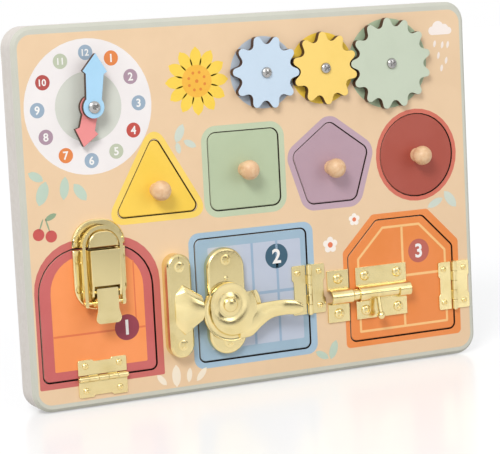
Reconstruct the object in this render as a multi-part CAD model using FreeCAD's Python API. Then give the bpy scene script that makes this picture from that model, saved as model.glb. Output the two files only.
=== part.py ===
import FreeCAD, Part
import math
import os
from FreeCAD import Vector

# Wooden busy board, in millimetres. X runs to the right, Z up, and the front face looks along -Y.
# The origin is the middle of the bottom edge, half way through the board.
# "out" is the height of a point in front of the board's front face.

# Board
board_width = 300.0
board_height = 224.0
back_thickness = 14.0
front_thickness = 6.0
board_corner = 12.5
edge_bevel = 2.0
piece_bevel = 0.5
door_bevel = 0.4
front_y = -(back_thickness + front_thickness) / 2

# Fits
puzzle_gap = 0.5
door_gap = 0.9
door_back_gap = 0.3
running_fit = 0.05
face_gap = 0.1

# Clock
clock_x, clock_z = -105.2, 175.9
hand_thickness = 3.2
hand_washer = 0.5
hand_spacer = 1.8
pivot_radius = 2.4
pivot_head_radius = 3.5
pivot_head_height = 1.8
washer_radius = 5.0
hour_hub, hour_arm, hour_flare, hour_head, hour_head_at, hour_length = 7.0, 9.0, 9.6, 14.5, 14.5, 23.5
minute_hub, minute_arm, minute_flare, minute_head, minute_head_at, minute_length = 6.5, 9.0, 11.0, 15.2, 20.5, 31.0
hour_angle, minute_angle = 195.0, 5.0

# Gears
tooth_module = 4.0
gear_teeth = {"blue": 10, "yellow": 10, "green": 13}
gear_x, gear_z = 7.7, 188.4
gear_thickness = 4.0
gear_lift = 1.0
yellow_tooth_angle = 21.5
tip_radius, tip_rise = 2.5, 2.2
valley_radius, valley_drop = 3.0, 3.1
tip_chords, valley_chords = 6, 5
bush_radius = 3.0
bush_flange_radius = 6.0
gear_head_radius = 3.6
gear_head_height = 1.9

# Puzzle pieces
triangle_side, triangle_x, triangle_base_z, triangle_corner = 54.4, -65.6, 109.5, 3.5
square_side, square_x, square_z, square_corner = 46.4, -7.8, 131.2, 5.0
pentagon_radius, pentagon_x, pentagon_z, pentagon_corner = 27.5, 50.9, 128.3, 5.0
round_radius, round_x, round_z = 25.6, 111.6, 130.0
knob_base_radius, knob_waist_radius, knob_head_radius, knob_height = 4.3, 3.6, 6.0, 13.5
knob_waist_out, knob_neck_out, knob_belt_low, knob_belt_high, knob_crown_out = 2.6, 4.2, 6.4, 8.6, 12.0
knob_neck_radius, knob_crown_radius, knob_top_radius = 4.4, 4.4, 2.4
knob_sides = 24
tenon_radius, tenon_length = 2.6, 4.5
knob_places = {"triangle": (-65.8, 124.0), "square": (-7.9, 131.2), "pentagon": (50.6, 127.3),
               "round": (round_x, round_z)}

# Doors
door_1_left, door_1_right, door_1_low, door_1_high = -142.4, -71.9, 17.9, 94.0
door_1_top_corner, door_corner = 26.0, 3.5
door_2_left, door_2_right, door_2_low, door_2_high = -43.0, 31.0, 17.7, 91.4
door_3_left, door_3_right, door_3_low, door_3_high = 60.2, 134.5, 17.6, 91.2
door_3_chamfer = 20.6

# Hinges
hinge_length = 30.5
leaf_width = 11.2
leaf_thickness = 1.0
lobe_depth, lobe_length = 1.1, 9.0
knuckle_radius = 1.7
knuckle_count = 5
knuckle_sides = 8
knuckle_gap = 0.15
hinge_pin_radius = 0.8
hinge_pin_cap = 0.7
hinge_screw_along, hinge_screw_across = 10.6, 7.4
door_1_hinge_x, door_2_hinge_z, door_3_hinge_z = -106.6, 53.7, 45.0

# Small screws
screw_radius = 1.1
screw_depth = 4.5
shank_sides, head_sides = 6, 12
small_head_radius, small_head_height = 1.9, 0.9
large_head_radius, large_head_height = 3.2, 1.3

# Toggle latch
latch_x = -104.6
latch_half_width = 16.5
latch_plate = 2.0
plate_bevel = 0.7
latch_keeper_top = 110.5
latch_base_low = 57.5
latch_base_corner = 14.0
hook_half_width, hook_top, hook_out, hook_corner = 9.2, 104.2, 10.0, 7.5
sheet = 1.4
housing_out, housing_low = 12.0, 72.6
ear_low, ear_step_z, ear_step_out = 62.5, 66.5, 10.8
lever_pin_z, lever_pin_out, lever_pin_radius = 69.0, 9.0, 1.0
bail_pin_z, bail_pin_out, bail_pin_radius = 62.3, 6.2, 1.1
tab_low, tab_half_width, tab_flare, tab_thickness = 50.5, 6.6, 2.2, 1.5
tab_out = 11.7
cheek_depth = 5.0
bail_half_width, bail_strip, bail_depth = 12.6, 2.0, 3.4
bail_top = 107.3
latch_screw_radius = 2.2
latch_screw_in, latch_screw_foot, latch_screw_low, latch_screw_high = 3.3, 5.0, 13.0, 6.0

# Sash fastener
sash_keeper_x, sash_keeper_low, sash_keeper_high, sash_keeper_half = -57.5, 23.4, 85.5, 7.7
sash_keeper_out = 8.5
sash_base_x, sash_base_low, sash_base_high, sash_base_half = -25.7, 21.4, 85.8, 12.4
sash_base_out = 5.0
sash_head_height = 0.5
detent_off, detent_radius = 2.6, 1.4
sash_hub_x, sash_hub_z, sash_hub_radius, sash_hub_out = -25.8, 52.0, 13.0, 9.0
cam_radius, cam_offset_x, cam_offset_z = 19.3, 2.5, -3.5
cam_top_left, cam_top_right = 6.5, 0.0
handle_sides = 8
rivet_radius, rivet_head_radius, rivet_head_height = 2.6, 4.6, 2.4
hood_left, hood_shoulder, hood_right = -61.5, -56.0, -44.3
hood_half_wide, hood_half_narrow, hood_out = 15.6, 7.7, 12.8
hood_under = 7.6
arch_chords = 8
pocket_margin = 1.0

# Barrel bolt
bolt_z = 47.2
rod_radius = 3.5
bolt_axis_out = 3.8
hump_wall = 1.2
bolt_plate = 1.2
bolt_plate_half = 16.3
keeper_left, keeper_right = 44.2, 59.0
barrel_left, barrel_right = 64.0, 100.0
window_left, window_right = 71.0, 92.0
rod_left, rod_right = 59.5, 99.0
knob_x = 77.6
eye_width, eye_depth = 3.6, 1.0
stem_radius, stem_length, ball_radius, ball_length = 1.5, 12.6, 2.6, 4.2
stem_lean = 14.0
bolt_screw_z = 10.9


def at(x, z, out=0.0):
    """A point over the front face."""
    return Vector(x, front_y - out, z)


def unit(vector):
    length = math.hypot(vector[0], vector[1])
    return vector[0] / length, vector[1] / length


def corner_arc(before, corner, after):
    """Start, middle and end of the round at one corner (x, z, radius) of an outline."""
    x, z, radius = corner
    one = unit((before[0] - x, before[1] - z))
    two = unit((after[0] - x, after[1] - z))
    half = math.acos(max(-1.0, min(1.0, one[0] * two[0] + one[1] * two[1]))) / 2
    reach = radius / math.tan(half)
    way = unit((one[0] + two[0], one[1] + two[1]))
    middle = radius / math.sin(half) - radius
    return ((x + one[0] * reach, z + one[1] * reach), (x + way[0] * middle, z + way[1] * middle),
            (x + two[0] * reach, z + two[1] * reach))


def outline(corners, out):
    """A closed wire through corners (x, z, radius), each rounded to its own radius."""
    rounds = [corner_arc(corners[i - 1], corners[i], corners[(i + 1) % len(corners)])
              for i in range(len(corners))]
    edges = []
    for i, (start, middle, end) in enumerate(rounds):
        last = rounds[i - 1][2]
        if math.hypot(last[0] - start[0], last[1] - start[1]) > 1e-6:
            edges.append(Part.makeLine(at(*last, out), at(*start, out)))
        if corners[i][2] > 0:
            edges.append(Part.Arc(at(*start, out), at(*middle, out), at(*end, out)).toShape())
    return Part.Wire(edges)


def grown(corners, amount):
    """The same convex outline, moved out by an amount all round."""
    result = []
    for i, (x, z, radius) in enumerate(corners):
        before, after = corners[i - 1], corners[(i + 1) % len(corners)]
        one = unit((before[0] - x, before[1] - z))
        two = unit((after[0] - x, after[1] - z))
        half = math.acos(one[0] * two[0] + one[1] * two[1]) / 2
        way = unit((one[0] + two[0], one[1] + two[1]))
        shift = amount / math.sin(half)
        result.append((x - way[0] * shift, z - way[1] * shift, radius + amount))
    return result


def slab(corners, low, high):
    """A flat piece between two heights over the face."""
    return Part.Face(outline(corners, low)).extrude(Vector(0, low - high, 0))


def eased(solid, out, width):
    """The solid with its edges at one height over the face bevelled."""
    edges = [e for e in solid.Edges
             if abs(e.BoundBox.YMin - front_y + out) < 1e-5 and abs(e.BoundBox.YMax - front_y + out) < 1e-5]
    return solid.makeChamfer(width, edges)


def disc(x, z, radius, low, high):
    """A round bar square to the face."""
    return Part.makeCylinder(radius, high - low, at(x, z, low), Vector(0, -1, 0))


def box(x_low, x_high, z_low, z_high, low, high):
    return Part.makeBox(x_high - x_low, high - low, z_high - z_low, Vector(x_low, front_y - high, z_low))


def turned(x, z, *profile):
    """A solid of revolution square to the face, from profile points (r, out)."""
    points = [at(x + radius, z, out) for radius, out in profile]
    return Part.Face(Part.makePolygon(points + points[:1])).revolve(at(x, z), Vector(0, 1, 0), 360)


def regular(count, radius, x, z, corner=0):
    """Corners of a regular figure with its first corner at the top, as seen from the front."""
    angles = [math.pi / 2 + 2 * math.pi * i / count for i in range(count)]
    return [(x + radius * math.cos(a), z + radius * math.sin(a), corner) for a in angles]


def prism(x, z, radius, low, high, sides=head_sides):
    """A small round piece square to the face. It repeats, so it has few sides to keep its mesh light."""
    return slab(regular(sides, radius, x, z), low, high)


def skin(rings):
    """A solid over rings of points, with flat triangles between neighbouring rings."""
    faces = [Part.Face(Part.makePolygon(ring + ring[:1])) for ring in (rings[0], rings[-1])]
    for one, two in zip(rings, rings[1:]):
        for i in range(len(one)):
            for corners in ((one[i - 1], one[i], two[i]), (one[i - 1], two[i], two[i - 1])):
                faces.append(Part.Face(Part.makePolygon(corners + corners[:1])))
    shell = Part.makeShell(faces)
    shell.sewShape()
    solid = Part.makeSolid(shell)
    if solid.Volume < 0:
        solid.reverse()
    return solid.removeSplitter()


def stepped(x, z, sides, *profile):
    """A turned piece in few sides, from profile points (r, out)."""
    return skin([[at(px, pz, out) for px, pz, _ in regular(sides, radius, x, z)] for radius, out in profile])


def screw(x, z, seat, head_radius, head_height, depth=screw_depth, radius=screw_radius):
    """A screw whose bevelled head sits at a height over the face."""
    head = eased(prism(x, z, head_radius, seat, seat + head_height), seat + head_height, head_height * 0.6)
    return head.fuse(prism(x, z, radius, seat - depth, seat, shank_sides))


nodes = {}
screw_holes = []


def keep(name, *solids):
    """Store one or more separate solids as a node."""
    parts = [part for solid in solids for part in solid.Solids]
    nodes[name] = parts[0] if len(parts) == 1 else Part.makeCompound(parts)


# Outlines of the loose pieces and the doors, counter-clockwise as seen from the front
square_low, square_left = square_z - square_side / 2, square_x - square_side / 2
shapes = {
    "triangle": regular(3, triangle_side / math.sqrt(3), triangle_x,
                        triangle_base_z + triangle_side / (2 * math.sqrt(3)), triangle_corner),
    "square": [(square_left, square_low, square_corner), (square_left + square_side, square_low, square_corner),
               (square_left + square_side, square_low + square_side, square_corner),
               (square_left, square_low + square_side, square_corner)],
    "pentagon": regular(5, pentagon_radius, pentagon_x, pentagon_z, pentagon_corner),
}
doors = {
    "door_1": [(door_1_left, door_1_low, door_corner), (door_1_right, door_1_low, door_corner),
               (door_1_right, door_1_high, door_1_top_corner), (door_1_left, door_1_high, door_1_top_corner)],
    "door_2": [(door_2_left, door_2_low, door_corner), (door_2_right, door_2_low, door_corner),
               (door_2_right, door_2_high, door_corner), (door_2_left, door_2_high, door_corner)],
    "door_3": [(door_3_left, door_3_low, door_corner), (door_3_right, door_3_low, door_corner),
               (door_3_right, door_3_high - door_3_chamfer, door_corner),
               (door_3_right - door_3_chamfer, door_3_high, door_corner),
               (door_3_left + door_3_chamfer, door_3_high, door_corner),
               (door_3_left, door_3_high - door_3_chamfer, door_corner)],
}
board_outline = [(-board_width / 2, 0, board_corner), (board_width / 2, 0, board_corner),
                 (board_width / 2, board_height, board_corner), (-board_width / 2, board_height, board_corner)]


# Board: a thick back panel with a thin holed front panel glued on it
back_panel = eased(slab(board_outline, -front_thickness - back_thickness, -front_thickness),
                   -front_thickness - back_thickness, edge_bevel)
front_panel = eased(slab(board_outline, -front_thickness, 0), 0, edge_bevel)
holes = [slab(grown(c, puzzle_gap), -front_thickness, 1) for c in shapes.values()]
holes += [slab(grown(c, door_gap), -front_thickness, 1) for c in doors.values()]
holes.append(disc(round_x, round_z, round_radius + puzzle_gap, -front_thickness, 1))
front_panel = front_panel.cut(holes)


# Clock: two hands stacked on one pivot screw, with a spacer below and a washer between
def hand(radius, near, far, head_width, head_at, length, angle, low):
    """A clock hand: a round hub, a widening arm and an arrow head, turned clockwise from upright."""
    barb = 0.1 * head_width
    arm = [(-near / 2, 0, 0), (near / 2, 0, 0), (far / 2, head_at - barb, 0), (head_width / 2, head_at, 0),
           (0, length, 0), (-head_width / 2, head_at, 0), (-far / 2, head_at - barb, 0)]
    solid = slab(arm, low, low + hand_thickness).fuse(disc(0, 0, radius, low, low + hand_thickness))
    solid = solid.removeSplitter().cut(disc(0, 0, pivot_radius + running_fit, low, low + hand_thickness))
    solid.rotate(Vector(0, 0, 0), Vector(0, 1, 0), angle)
    solid.translate(Vector(clock_x, 0, clock_z))
    return solid


def washer(low, high, radius):
    return prism(clock_x, clock_z, radius, low, high).cut(prism(clock_x, clock_z, pivot_radius, low, high))


hour_low = hand_spacer + face_gap
washer_low = hour_low + hand_thickness + face_gap
minute_low = washer_low + hand_washer + face_gap
pivot_seat = minute_low + hand_thickness + face_gap
keep("hour_hand", hand(hour_hub, hour_arm, hour_flare, hour_head, hour_head_at, hour_length, hour_angle, hour_low))
keep("minute_hand", hand(minute_hub, minute_arm, minute_flare, minute_head, minute_head_at, minute_length,
                         minute_angle, minute_low))
keep("clock_washers", washer(0, hand_spacer, washer_radius),
     washer(washer_low, washer_low + hand_washer, washer_radius))
pivot = eased(prism(clock_x, clock_z, pivot_head_radius, pivot_seat, pivot_seat + pivot_head_height),
              pivot_seat + pivot_head_height, pivot_head_height * 0.6)
pivot = pivot.fuse(prism(clock_x, clock_z, pivot_radius, -back_thickness / 2, pivot_seat))
keep("clock_pivot", pivot)
screw_holes.append(pivot)


# Gears: rounded teeth that mesh along one row, each turning on a flanged bush under a domed screw
def gear(teeth, x, z, tooth_angle):
    """A gear with round tips and round valleys, in short chords, joined by straight flanks."""
    pitch_radius = tooth_module * teeth / 2
    half_pitch = math.pi / teeth
    tip_centre = pitch_radius + tip_rise - tip_radius
    valley_centre = pitch_radius - valley_drop + valley_radius
    across = valley_centre * math.sin(half_pitch)
    along = valley_centre * math.cos(half_pitch) - tip_centre
    distance = math.hypot(across, along)
    turn = math.asin((tip_radius + valley_radius) / distance)
    lean = math.atan2(across, along)
    normal = lean - (math.pi / 2 - turn)

    def polar(radius, angle, step):
        whole = math.radians(tooth_angle) + step * 2 * half_pitch + angle
        return at(x + radius * math.cos(whole), z + radius * math.sin(whole), gear_lift)

    def off_centre(centre, centre_angle, radius, direction, step):
        px = centre * math.cos(centre_angle) + radius * math.cos(direction)
        pz = centre * math.sin(centre_angle) + radius * math.sin(direction)
        return polar(math.hypot(px, pz), math.atan2(pz, px), step)

    tip_turns = [-normal + 2 * normal * i / tip_chords for i in range(tip_chords + 1)]
    valley_low, valley_high = normal + math.pi, 2 * half_pitch - normal + math.pi
    valley_turns = [valley_low + (valley_high - valley_low) * i / valley_chords for i in range(valley_chords + 1)]
    points = []
    for step in range(teeth):
        points += [off_centre(tip_centre, 0, tip_radius, turn, step) for turn in tip_turns]
        points += [off_centre(valley_centre, half_pitch, valley_radius, turn, step) for turn in valley_turns]
    solid = Part.Face(Part.makePolygon(points + points[:1])).extrude(Vector(0, -gear_thickness, 0))
    return solid.cut(disc(x, z, bush_radius + running_fit, gear_lift, gear_lift + gear_thickness))


def meshing_angle(teeth, tooth_angle, other_teeth, direction):
    """The tooth angle of a gear that meshes with another one lying in a direction from it."""
    phase = (tooth_angle - direction) * teeth / 360
    return direction + 180 + (0.5 - phase) * 360 / other_teeth


blue_x = gear_x
yellow_x = blue_x + tooth_module * (gear_teeth["blue"] + gear_teeth["yellow"]) / 2
green_x = yellow_x + tooth_module * (gear_teeth["yellow"] + gear_teeth["green"]) / 2
gear_angles = {
    "blue": meshing_angle(gear_teeth["yellow"], yellow_tooth_angle, gear_teeth["blue"], 180),
    "yellow": yellow_tooth_angle,
    "green": meshing_angle(gear_teeth["yellow"], yellow_tooth_angle, gear_teeth["green"], 0),
}
gear_top = gear_lift + gear_thickness
bushes, gear_screws = [], []
for colour, centre_x in (("blue", blue_x), ("yellow", yellow_x), ("green", green_x)):
    keep("gear_" + colour, gear(gear_teeth[colour], centre_x, gear_z, gear_angles[colour]))
    bush = prism(centre_x, gear_z, bush_radius, 0, gear_top + face_gap)
    bush = bush.fuse(prism(centre_x, gear_z, bush_flange_radius, 0, gear_lift - face_gap))
    bushes.append(bush.cut(prism(centre_x, gear_z, screw_radius, 0, gear_top + face_gap, shank_sides)))
    gear_screws.append(screw(centre_x, gear_z, gear_top + face_gap, gear_head_radius, gear_head_height,
                             gear_top + back_thickness / 2))
keep("gear_bushes", *bushes)
keep("gear_screws", *gear_screws)
screw_holes += gear_screws


# Puzzle pieces, each with a turned knob glued in by its tenon
def knob(x, z):
    """A turned knob: round foot, waist and bellied head on a tenon."""
    return stepped(x, z, knob_sides, (tenon_radius, -tenon_length), (tenon_radius, 0), (knob_base_radius, 0),
                   (knob_waist_radius, knob_waist_out), (knob_neck_radius, knob_neck_out),
                   (knob_head_radius, knob_belt_low), (knob_head_radius, knob_belt_high),
                   (knob_crown_radius, knob_crown_out), (knob_top_radius, knob_height))


for shape_name, (knob_px, knob_pz) in knob_places.items():
    if shape_name == "round":
        piece = disc(round_x, round_z, round_radius, -front_thickness, 0)
    else:
        piece = slab(shapes[shape_name], -front_thickness, 0)
    piece = eased(piece, 0, piece_bevel)
    keep(shape_name + "_piece", piece.cut(prism(knob_px, knob_pz, tenon_radius, -tenon_length, 0, knob_sides)))
    keep(shape_name + "_knob", knob(knob_px, knob_pz))


# Hinges, made upright at the origin with the board's leaf on the right, then turned into place
knuckle_out = knuckle_radius + running_fit


def barrel(x, out, low, length, radius, sides=knuckle_sides):
    """A few-sided bar along Z, as knuckles and bores are, whose flats touch a circle of the radius."""
    reach = radius / math.cos(math.pi / sides)
    turns = [math.pi * (2 * i + 1) / sides for i in range(sides)]
    points = [at(x + reach * math.cos(a), low, out + reach * math.sin(a)) for a in turns]
    return Part.Face(Part.makePolygon(points + points[:1])).extrude(Vector(0, 0, length))


def leaf(own_knuckles, bore_radius):
    """One hinge leaf with lobes round its screws and the knuckles that it carries."""
    half, inner = hinge_length / 2, knuckle_radius + 0.3
    waist = leaf_width - lobe_depth
    cut = lobe_depth
    edge = [(inner, -half, 0), (leaf_width - cut, -half, 0), (leaf_width, -half + cut, 0),
            (leaf_width, -half + lobe_length, 0), (waist, -half + lobe_length + cut, 0),
            (waist, half - lobe_length - cut, 0), (leaf_width, half - lobe_length, 0),
            (leaf_width, half - cut, 0), (leaf_width - cut, half, 0), (inner, half, 0)]
    solid = slab(edge, 0, leaf_thickness)
    step = hinge_length / knuckle_count
    for i in own_knuckles:
        low = -half + i * step + knuckle_gap / 2
        high = low + step - knuckle_gap
        solid = solid.fuse(box(0, inner + 0.5, low, high, running_fit, leaf_thickness))
        solid = solid.fuse(barrel(0, knuckle_out, low, high - low, knuckle_radius))
    solid = solid.removeSplitter()
    tools = [barrel(0, knuckle_out, -half, hinge_length, bore_radius)]
    for side in (-1, 1):
        tools.append(prism(hinge_screw_across, side * hinge_screw_along, screw_radius, 0, leaf_thickness, shank_sides))
    return solid.cut(tools)


def hinge_screws():
    return [screw(hinge_screw_across, side * hinge_screw_along, leaf_thickness, small_head_radius,
                  small_head_height) for side in (-1, 1)]


def hinge(number, x, z, board_side_angle):
    """Place one hinge: the angle turns its board leaf from the right, clockwise seen from the front."""
    def placed(solid, flipped=False):
        solid = solid.copy()
        if flipped:
            solid.rotate(Vector(0, 0, 0), Vector(0, 1, 0), 180)
        solid.rotate(Vector(0, 0, 0), Vector(0, 1, 0), board_side_angle)
        solid.translate(Vector(x, 0, z))
        return solid

    name = "hinge_%d_" % number
    keep(name + "board_leaf", placed(leaf((0, 2, 4), hinge_pin_radius)))
    keep(name + "door_leaf", placed(leaf((1, 3), hinge_pin_radius + running_fit), True))
    pin = Part.makeCylinder(hinge_pin_radius, hinge_length, at(0, -hinge_length / 2, knuckle_out))
    for low in (-hinge_length / 2 - hinge_pin_cap, hinge_length / 2):
        pin = pin.fuse(barrel(0, knuckle_out, low, hinge_pin_cap, knuckle_radius * 0.7))
    keep(name + "pin", placed(pin))
    board_screws = [placed(s) for s in hinge_screws()]
    door_screws = [placed(s, True) for s in hinge_screws()]
    keep(name + "board_screws", *board_screws)
    keep(name + "door_screws", *door_screws)
    screw_holes.extend(board_screws)
    return door_screws


door_holes = {
    "door_1": hinge(1, door_1_hinge_x, door_1_low - door_gap / 2, 90),
    "door_2": hinge(2, door_2_right + door_gap / 2, door_2_hinge_z, 0),
    "door_3": hinge(3, door_3_right + door_gap / 2, door_3_hinge_z, 0),
}


# Toggle latch on door 1: keeper on the board, base, lever and bail on the door
latch_left, latch_right = latch_x - latch_half_width, latch_x + latch_half_width
latch_keeper_low = door_1_high + door_gap + 0.1
keeper_corner = latch_half_width - 0.5
keeper_edge = [(latch_left, latch_keeper_low, 0), (latch_right, latch_keeper_low, 0),
               (latch_right, latch_keeper_top, min(keeper_corner, latch_keeper_top - latch_keeper_low - 1)),
               (latch_left, latch_keeper_top, min(keeper_corner, latch_keeper_top - latch_keeper_low - 1))]


def d_shape(half_width, top, corner):
    return [(latch_x - half_width, latch_keeper_low, 0), (latch_x + half_width, latch_keeper_low, 0),
            (latch_x + half_width, top, corner), (latch_x - half_width, top, corner)]


toggle_keeper = eased(slab(keeper_edge, 0, latch_plate), latch_plate, plate_bevel)
hook = eased(slab(d_shape(hook_half_width, hook_top, hook_corner), 0, hook_out), hook_out, 0.5)
toggle_keeper = toggle_keeper.fuse(hook).removeSplitter()
toggle_keeper = toggle_keeper.cut(slab(d_shape(hook_half_width - sheet, hook_top - sheet, hook_corner - sheet),
                                       latch_plate, hook_out - sheet))
keeper_screw_z = latch_keeper_low + latch_screw_foot
keeper_screw_x = latch_half_width - latch_screw_in


def flush_screw(x, z, seat):
    """A flat-headed screw that ends a little below the plate's top."""
    head = prism(x, z, latch_screw_radius, seat - 0.8, seat)
    return head.fuse(prism(x, z, screw_radius, seat - screw_depth, seat - 0.8, shank_sides))


def screw_pocket(x, z):
    return prism(x, z, latch_screw_radius, latch_plate * 0.7, latch_plate)


keeper_seats = [(latch_x + side * keeper_screw_x, keeper_screw_z) for side in (-1, 1)]
keeper_screws = [flush_screw(*seat, latch_plate * 0.7) for seat in keeper_seats]
toggle_keeper = toggle_keeper.cut([screw_pocket(*seat) for seat in keeper_seats] + keeper_screws)
keep("toggle_keeper", toggle_keeper)
keep("toggle_keeper_screws", *keeper_screws)
screw_holes += keeper_screws

latch_base_high = door_1_high - 0.4
base_edge = [(latch_left, latch_base_low, latch_base_corner), (latch_right, latch_base_low, latch_base_corner),
             (latch_right, latch_base_high, 0), (latch_left, latch_base_high, 0)]
toggle_base = eased(slab(base_edge, 0, latch_plate), latch_plate, plate_bevel)
housing_left, housing_right = latch_x - hook_half_width, latch_x + hook_half_width
side_profile = [Vector(housing_left, front_y - out, z) for z, out in
                ((latch_base_high, 0), (latch_base_high, housing_out), (housing_low, housing_out),
                 (ear_step_z, ear_step_out), (ear_low, latch_plate), (ear_low, 0))]
housing = Part.Face(Part.makePolygon(side_profile + side_profile[:1])).extrude(Vector(2 * hook_half_width, 0, 0))
housing = housing.cut([box(housing_left + sheet, housing_right - sheet, ear_low - 1, latch_base_high + 1,
                           latch_plate, housing_out - sheet),
                       box(housing_left + sheet, housing_right - sheet, ear_low - 1, housing_low,
                           latch_plate, housing_out + 1)])
toggle_base = toggle_base.fuse(housing).removeSplitter()


def cross_pin(z, out, radius, half_length):
    return Part.makeCylinder(radius, 2 * half_length, at(latch_x - half_length, z, out), Vector(1, 0, 0))


def cross_bore(z, out, radius, half_length):
    """A few-sided bore for a cross pin that turns in it."""
    solid = barrel(0, 0, -half_length, 2 * half_length, radius)
    solid.rotate(at(0, 0), Vector(0, 1, 0), 90)
    solid.translate(Vector(latch_x, -out, z))
    return solid


lever_pin = cross_pin(lever_pin_z, lever_pin_out, lever_pin_radius, hook_half_width + 0.2)
base_seats = [(latch_x + side * keeper_screw_x, z) for side in (-1, 1)
              for z in (latch_base_low + latch_screw_low, latch_base_high - latch_screw_high)]
base_screws = [flush_screw(*seat, latch_plate * 0.7) for seat in base_seats]
toggle_base = toggle_base.cut([lever_pin] + [screw_pocket(*seat) for seat in base_seats] + base_screws)
keep("toggle_base", toggle_base)
keep("toggle_base_screws", *base_screws)
keep("toggle_lever_pin", lever_pin)
door_holes["door_1"] += base_screws

tab_top = housing_low - 1.4
tab_edge = [(latch_x - tab_half_width - tab_flare, tab_low, 3.0), (latch_x + tab_half_width + tab_flare, tab_low, 3.0),
            (latch_x + tab_half_width, tab_low + 8.0, 6.0), (latch_x + tab_half_width, tab_top, 0.4),
            (latch_x - tab_half_width, tab_top, 0.4), (latch_x - tab_half_width, tab_low + 8.0, 6.0)]
lever = slab(tab_edge, tab_out - tab_thickness, tab_out)
cheek_low = bail_pin_z - 2.4
for side in (-1, 1):
    inner = latch_x + side * (tab_half_width - sheet / 2)
    cheek = box(inner - sheet / 2, inner + sheet / 2, cheek_low, tab_top - 1.0, tab_out - tab_thickness - cheek_depth,
                tab_out)
    lever = lever.fuse(cheek)
lever = lever.removeSplitter()
lever = lever.cut([cross_bore(lever_pin_z, lever_pin_out, lever_pin_radius + running_fit, hook_half_width),
                   cross_bore(bail_pin_z, bail_pin_out, bail_pin_radius + running_fit, hook_half_width)])
keep("toggle_lever", lever)

bail_low = bail_pin_z - 2.2
bail_outer = [(latch_x - bail_half_width, bail_low, 1.0), (latch_x + bail_half_width, bail_low, 1.0),
              (latch_x + bail_half_width, bail_top, bail_half_width - 0.3),
              (latch_x - bail_half_width, bail_top, bail_half_width - 0.3)]
bail_inner = [(x + (bail_strip if x < latch_x else -bail_strip), z if z > bail_pin_z else bail_low - 5,
               max(r - bail_strip, 0)) for x, z, r in bail_outer]
bail_inner = [(x, z - bail_strip if z > bail_pin_z else z, r) for x, z, r in bail_inner]
bail_from = bail_pin_out - bail_depth / 2
bail = slab(bail_outer, bail_from, bail_from + bail_depth).cut(slab(bail_inner, bail_from - 1,
                                                                    bail_from + bail_depth + 1))
bail_pin = cross_pin(bail_pin_z, bail_pin_out, bail_pin_radius, bail_half_width + 0.4)
bail = bail.cut(cross_bore(bail_pin_z, bail_pin_out, bail_pin_radius + running_fit, bail_half_width + 1))
keep("toggle_bail", bail)
keep("toggle_bail_pin", bail_pin)


# Sash fastener on door 2: hooded keeper on the board, base plate and cam lever on the door
def obround(x, low, high, half):
    return [(x - half, low, half - 0.01), (x + half, low, half - 0.01), (x + half, high, half - 0.01),
            (x - half, high, half - 0.01)]


def hood_section(x, half, top):
    """A low arch across the hood, square to X."""
    turns = [math.pi * i / arch_chords for i in range(arch_chords + 1)]
    points = [at(x, sash_hub_z + half * math.cos(a), hood_under + (top - hood_under) * math.sin(a)) for a in turns]
    return points


sash_keeper = eased(slab(obround(sash_keeper_x, sash_keeper_low, sash_keeper_high, sash_keeper_half), 0,
                         sash_keeper_out), sash_keeper_out, 1.2)
hood = skin([hood_section(hood_left, hood_half_wide * 0.62, sash_keeper_out + 0.6),
             hood_section(hood_shoulder, hood_half_wide, hood_out),
             hood_section(hood_right, hood_half_narrow, hood_out)])
sash_keeper = sash_keeper.fuse(hood).removeSplitter()
cam_reach = math.hypot(cam_offset_x, cam_offset_z) + cam_radius
sash_keeper = sash_keeper.cut(disc(sash_hub_x, sash_hub_z, cam_reach + pocket_margin, bolt_plate, hood_under))
sash_keeper_screws = [screw(sash_keeper_x, z, sash_keeper_out, large_head_radius, large_head_height,
                            sash_keeper_out + screw_depth) for z in (sash_keeper_low + 7.6, sash_keeper_high - 7.6)]
keep("sash_keeper", sash_keeper.cut(sash_keeper_screws))
keep("sash_keeper_screws", *sash_keeper_screws)
screw_holes += sash_keeper_screws

sash_base = eased(slab(obround(sash_base_x, sash_base_low, sash_base_high, sash_base_half), 0, sash_base_out),
                  sash_base_out, 1.2)
sash_base_screws = [screw(sash_base_x, z, sash_base_out, large_head_radius, sash_head_height,
                          sash_base_out + screw_depth) for z in (sash_base_low + 7.2, sash_base_high - 7.2)]
rivet_low, rivet_top = sash_hub_out + face_gap, sash_hub_out + rivet_head_height
rivet = stepped(sash_hub_x, sash_hub_z, knob_sides, (rivet_radius, 0), (rivet_radius, rivet_low),
                (rivet_head_radius, rivet_low), (rivet_head_radius, (rivet_low + rivet_top) / 2),
                (rivet_head_radius * 0.6, rivet_top))
detent = screw(sash_hub_x, sash_hub_z + sash_hub_radius + detent_off, sash_base_out, detent_radius,
               sash_head_height - face_gap, 1.0, 0.9)
keep("sash_base", sash_base.cut(sash_base_screws + [rivet, detent]))
keep("sash_base_screws", *sash_base_screws)
keep("sash_rivet", rivet)
keep("sash_detent", detent)
door_holes["door_2"] += sash_base_screws

lever_low = sash_base_out + sash_head_height + face_gap
hub = turned(sash_hub_x, sash_hub_z, (rivet_radius + running_fit, lever_low), (sash_hub_radius, lever_low),
             (sash_hub_radius, sash_hub_out - 0.8), (sash_hub_radius - 0.8, sash_hub_out),
             (rivet_radius + running_fit, sash_hub_out))
cam_x, cam_z = sash_hub_x + cam_offset_x, sash_hub_z + cam_offset_z
cam_rim = 1.6
cam = turned(cam_x, cam_z, (0, lever_low), (cam_radius, lever_low), (cam_radius, lever_low + cam_rim),
             (sash_hub_radius + 1.0, sash_hub_out - 0.8), (0, sash_hub_out - 0.8))
cam = cam.cut([box(cam_x - 2 * cam_radius, sash_hub_x, sash_hub_z + cam_top_left, sash_hub_z + 2 * cam_radius, 0,
                   sash_hub_out + 1),
               box(sash_hub_x, cam_x + 2 * cam_radius, sash_hub_z + cam_top_right, sash_hub_z + 2 * cam_radius, 0,
                   sash_hub_out + 1)])
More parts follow.
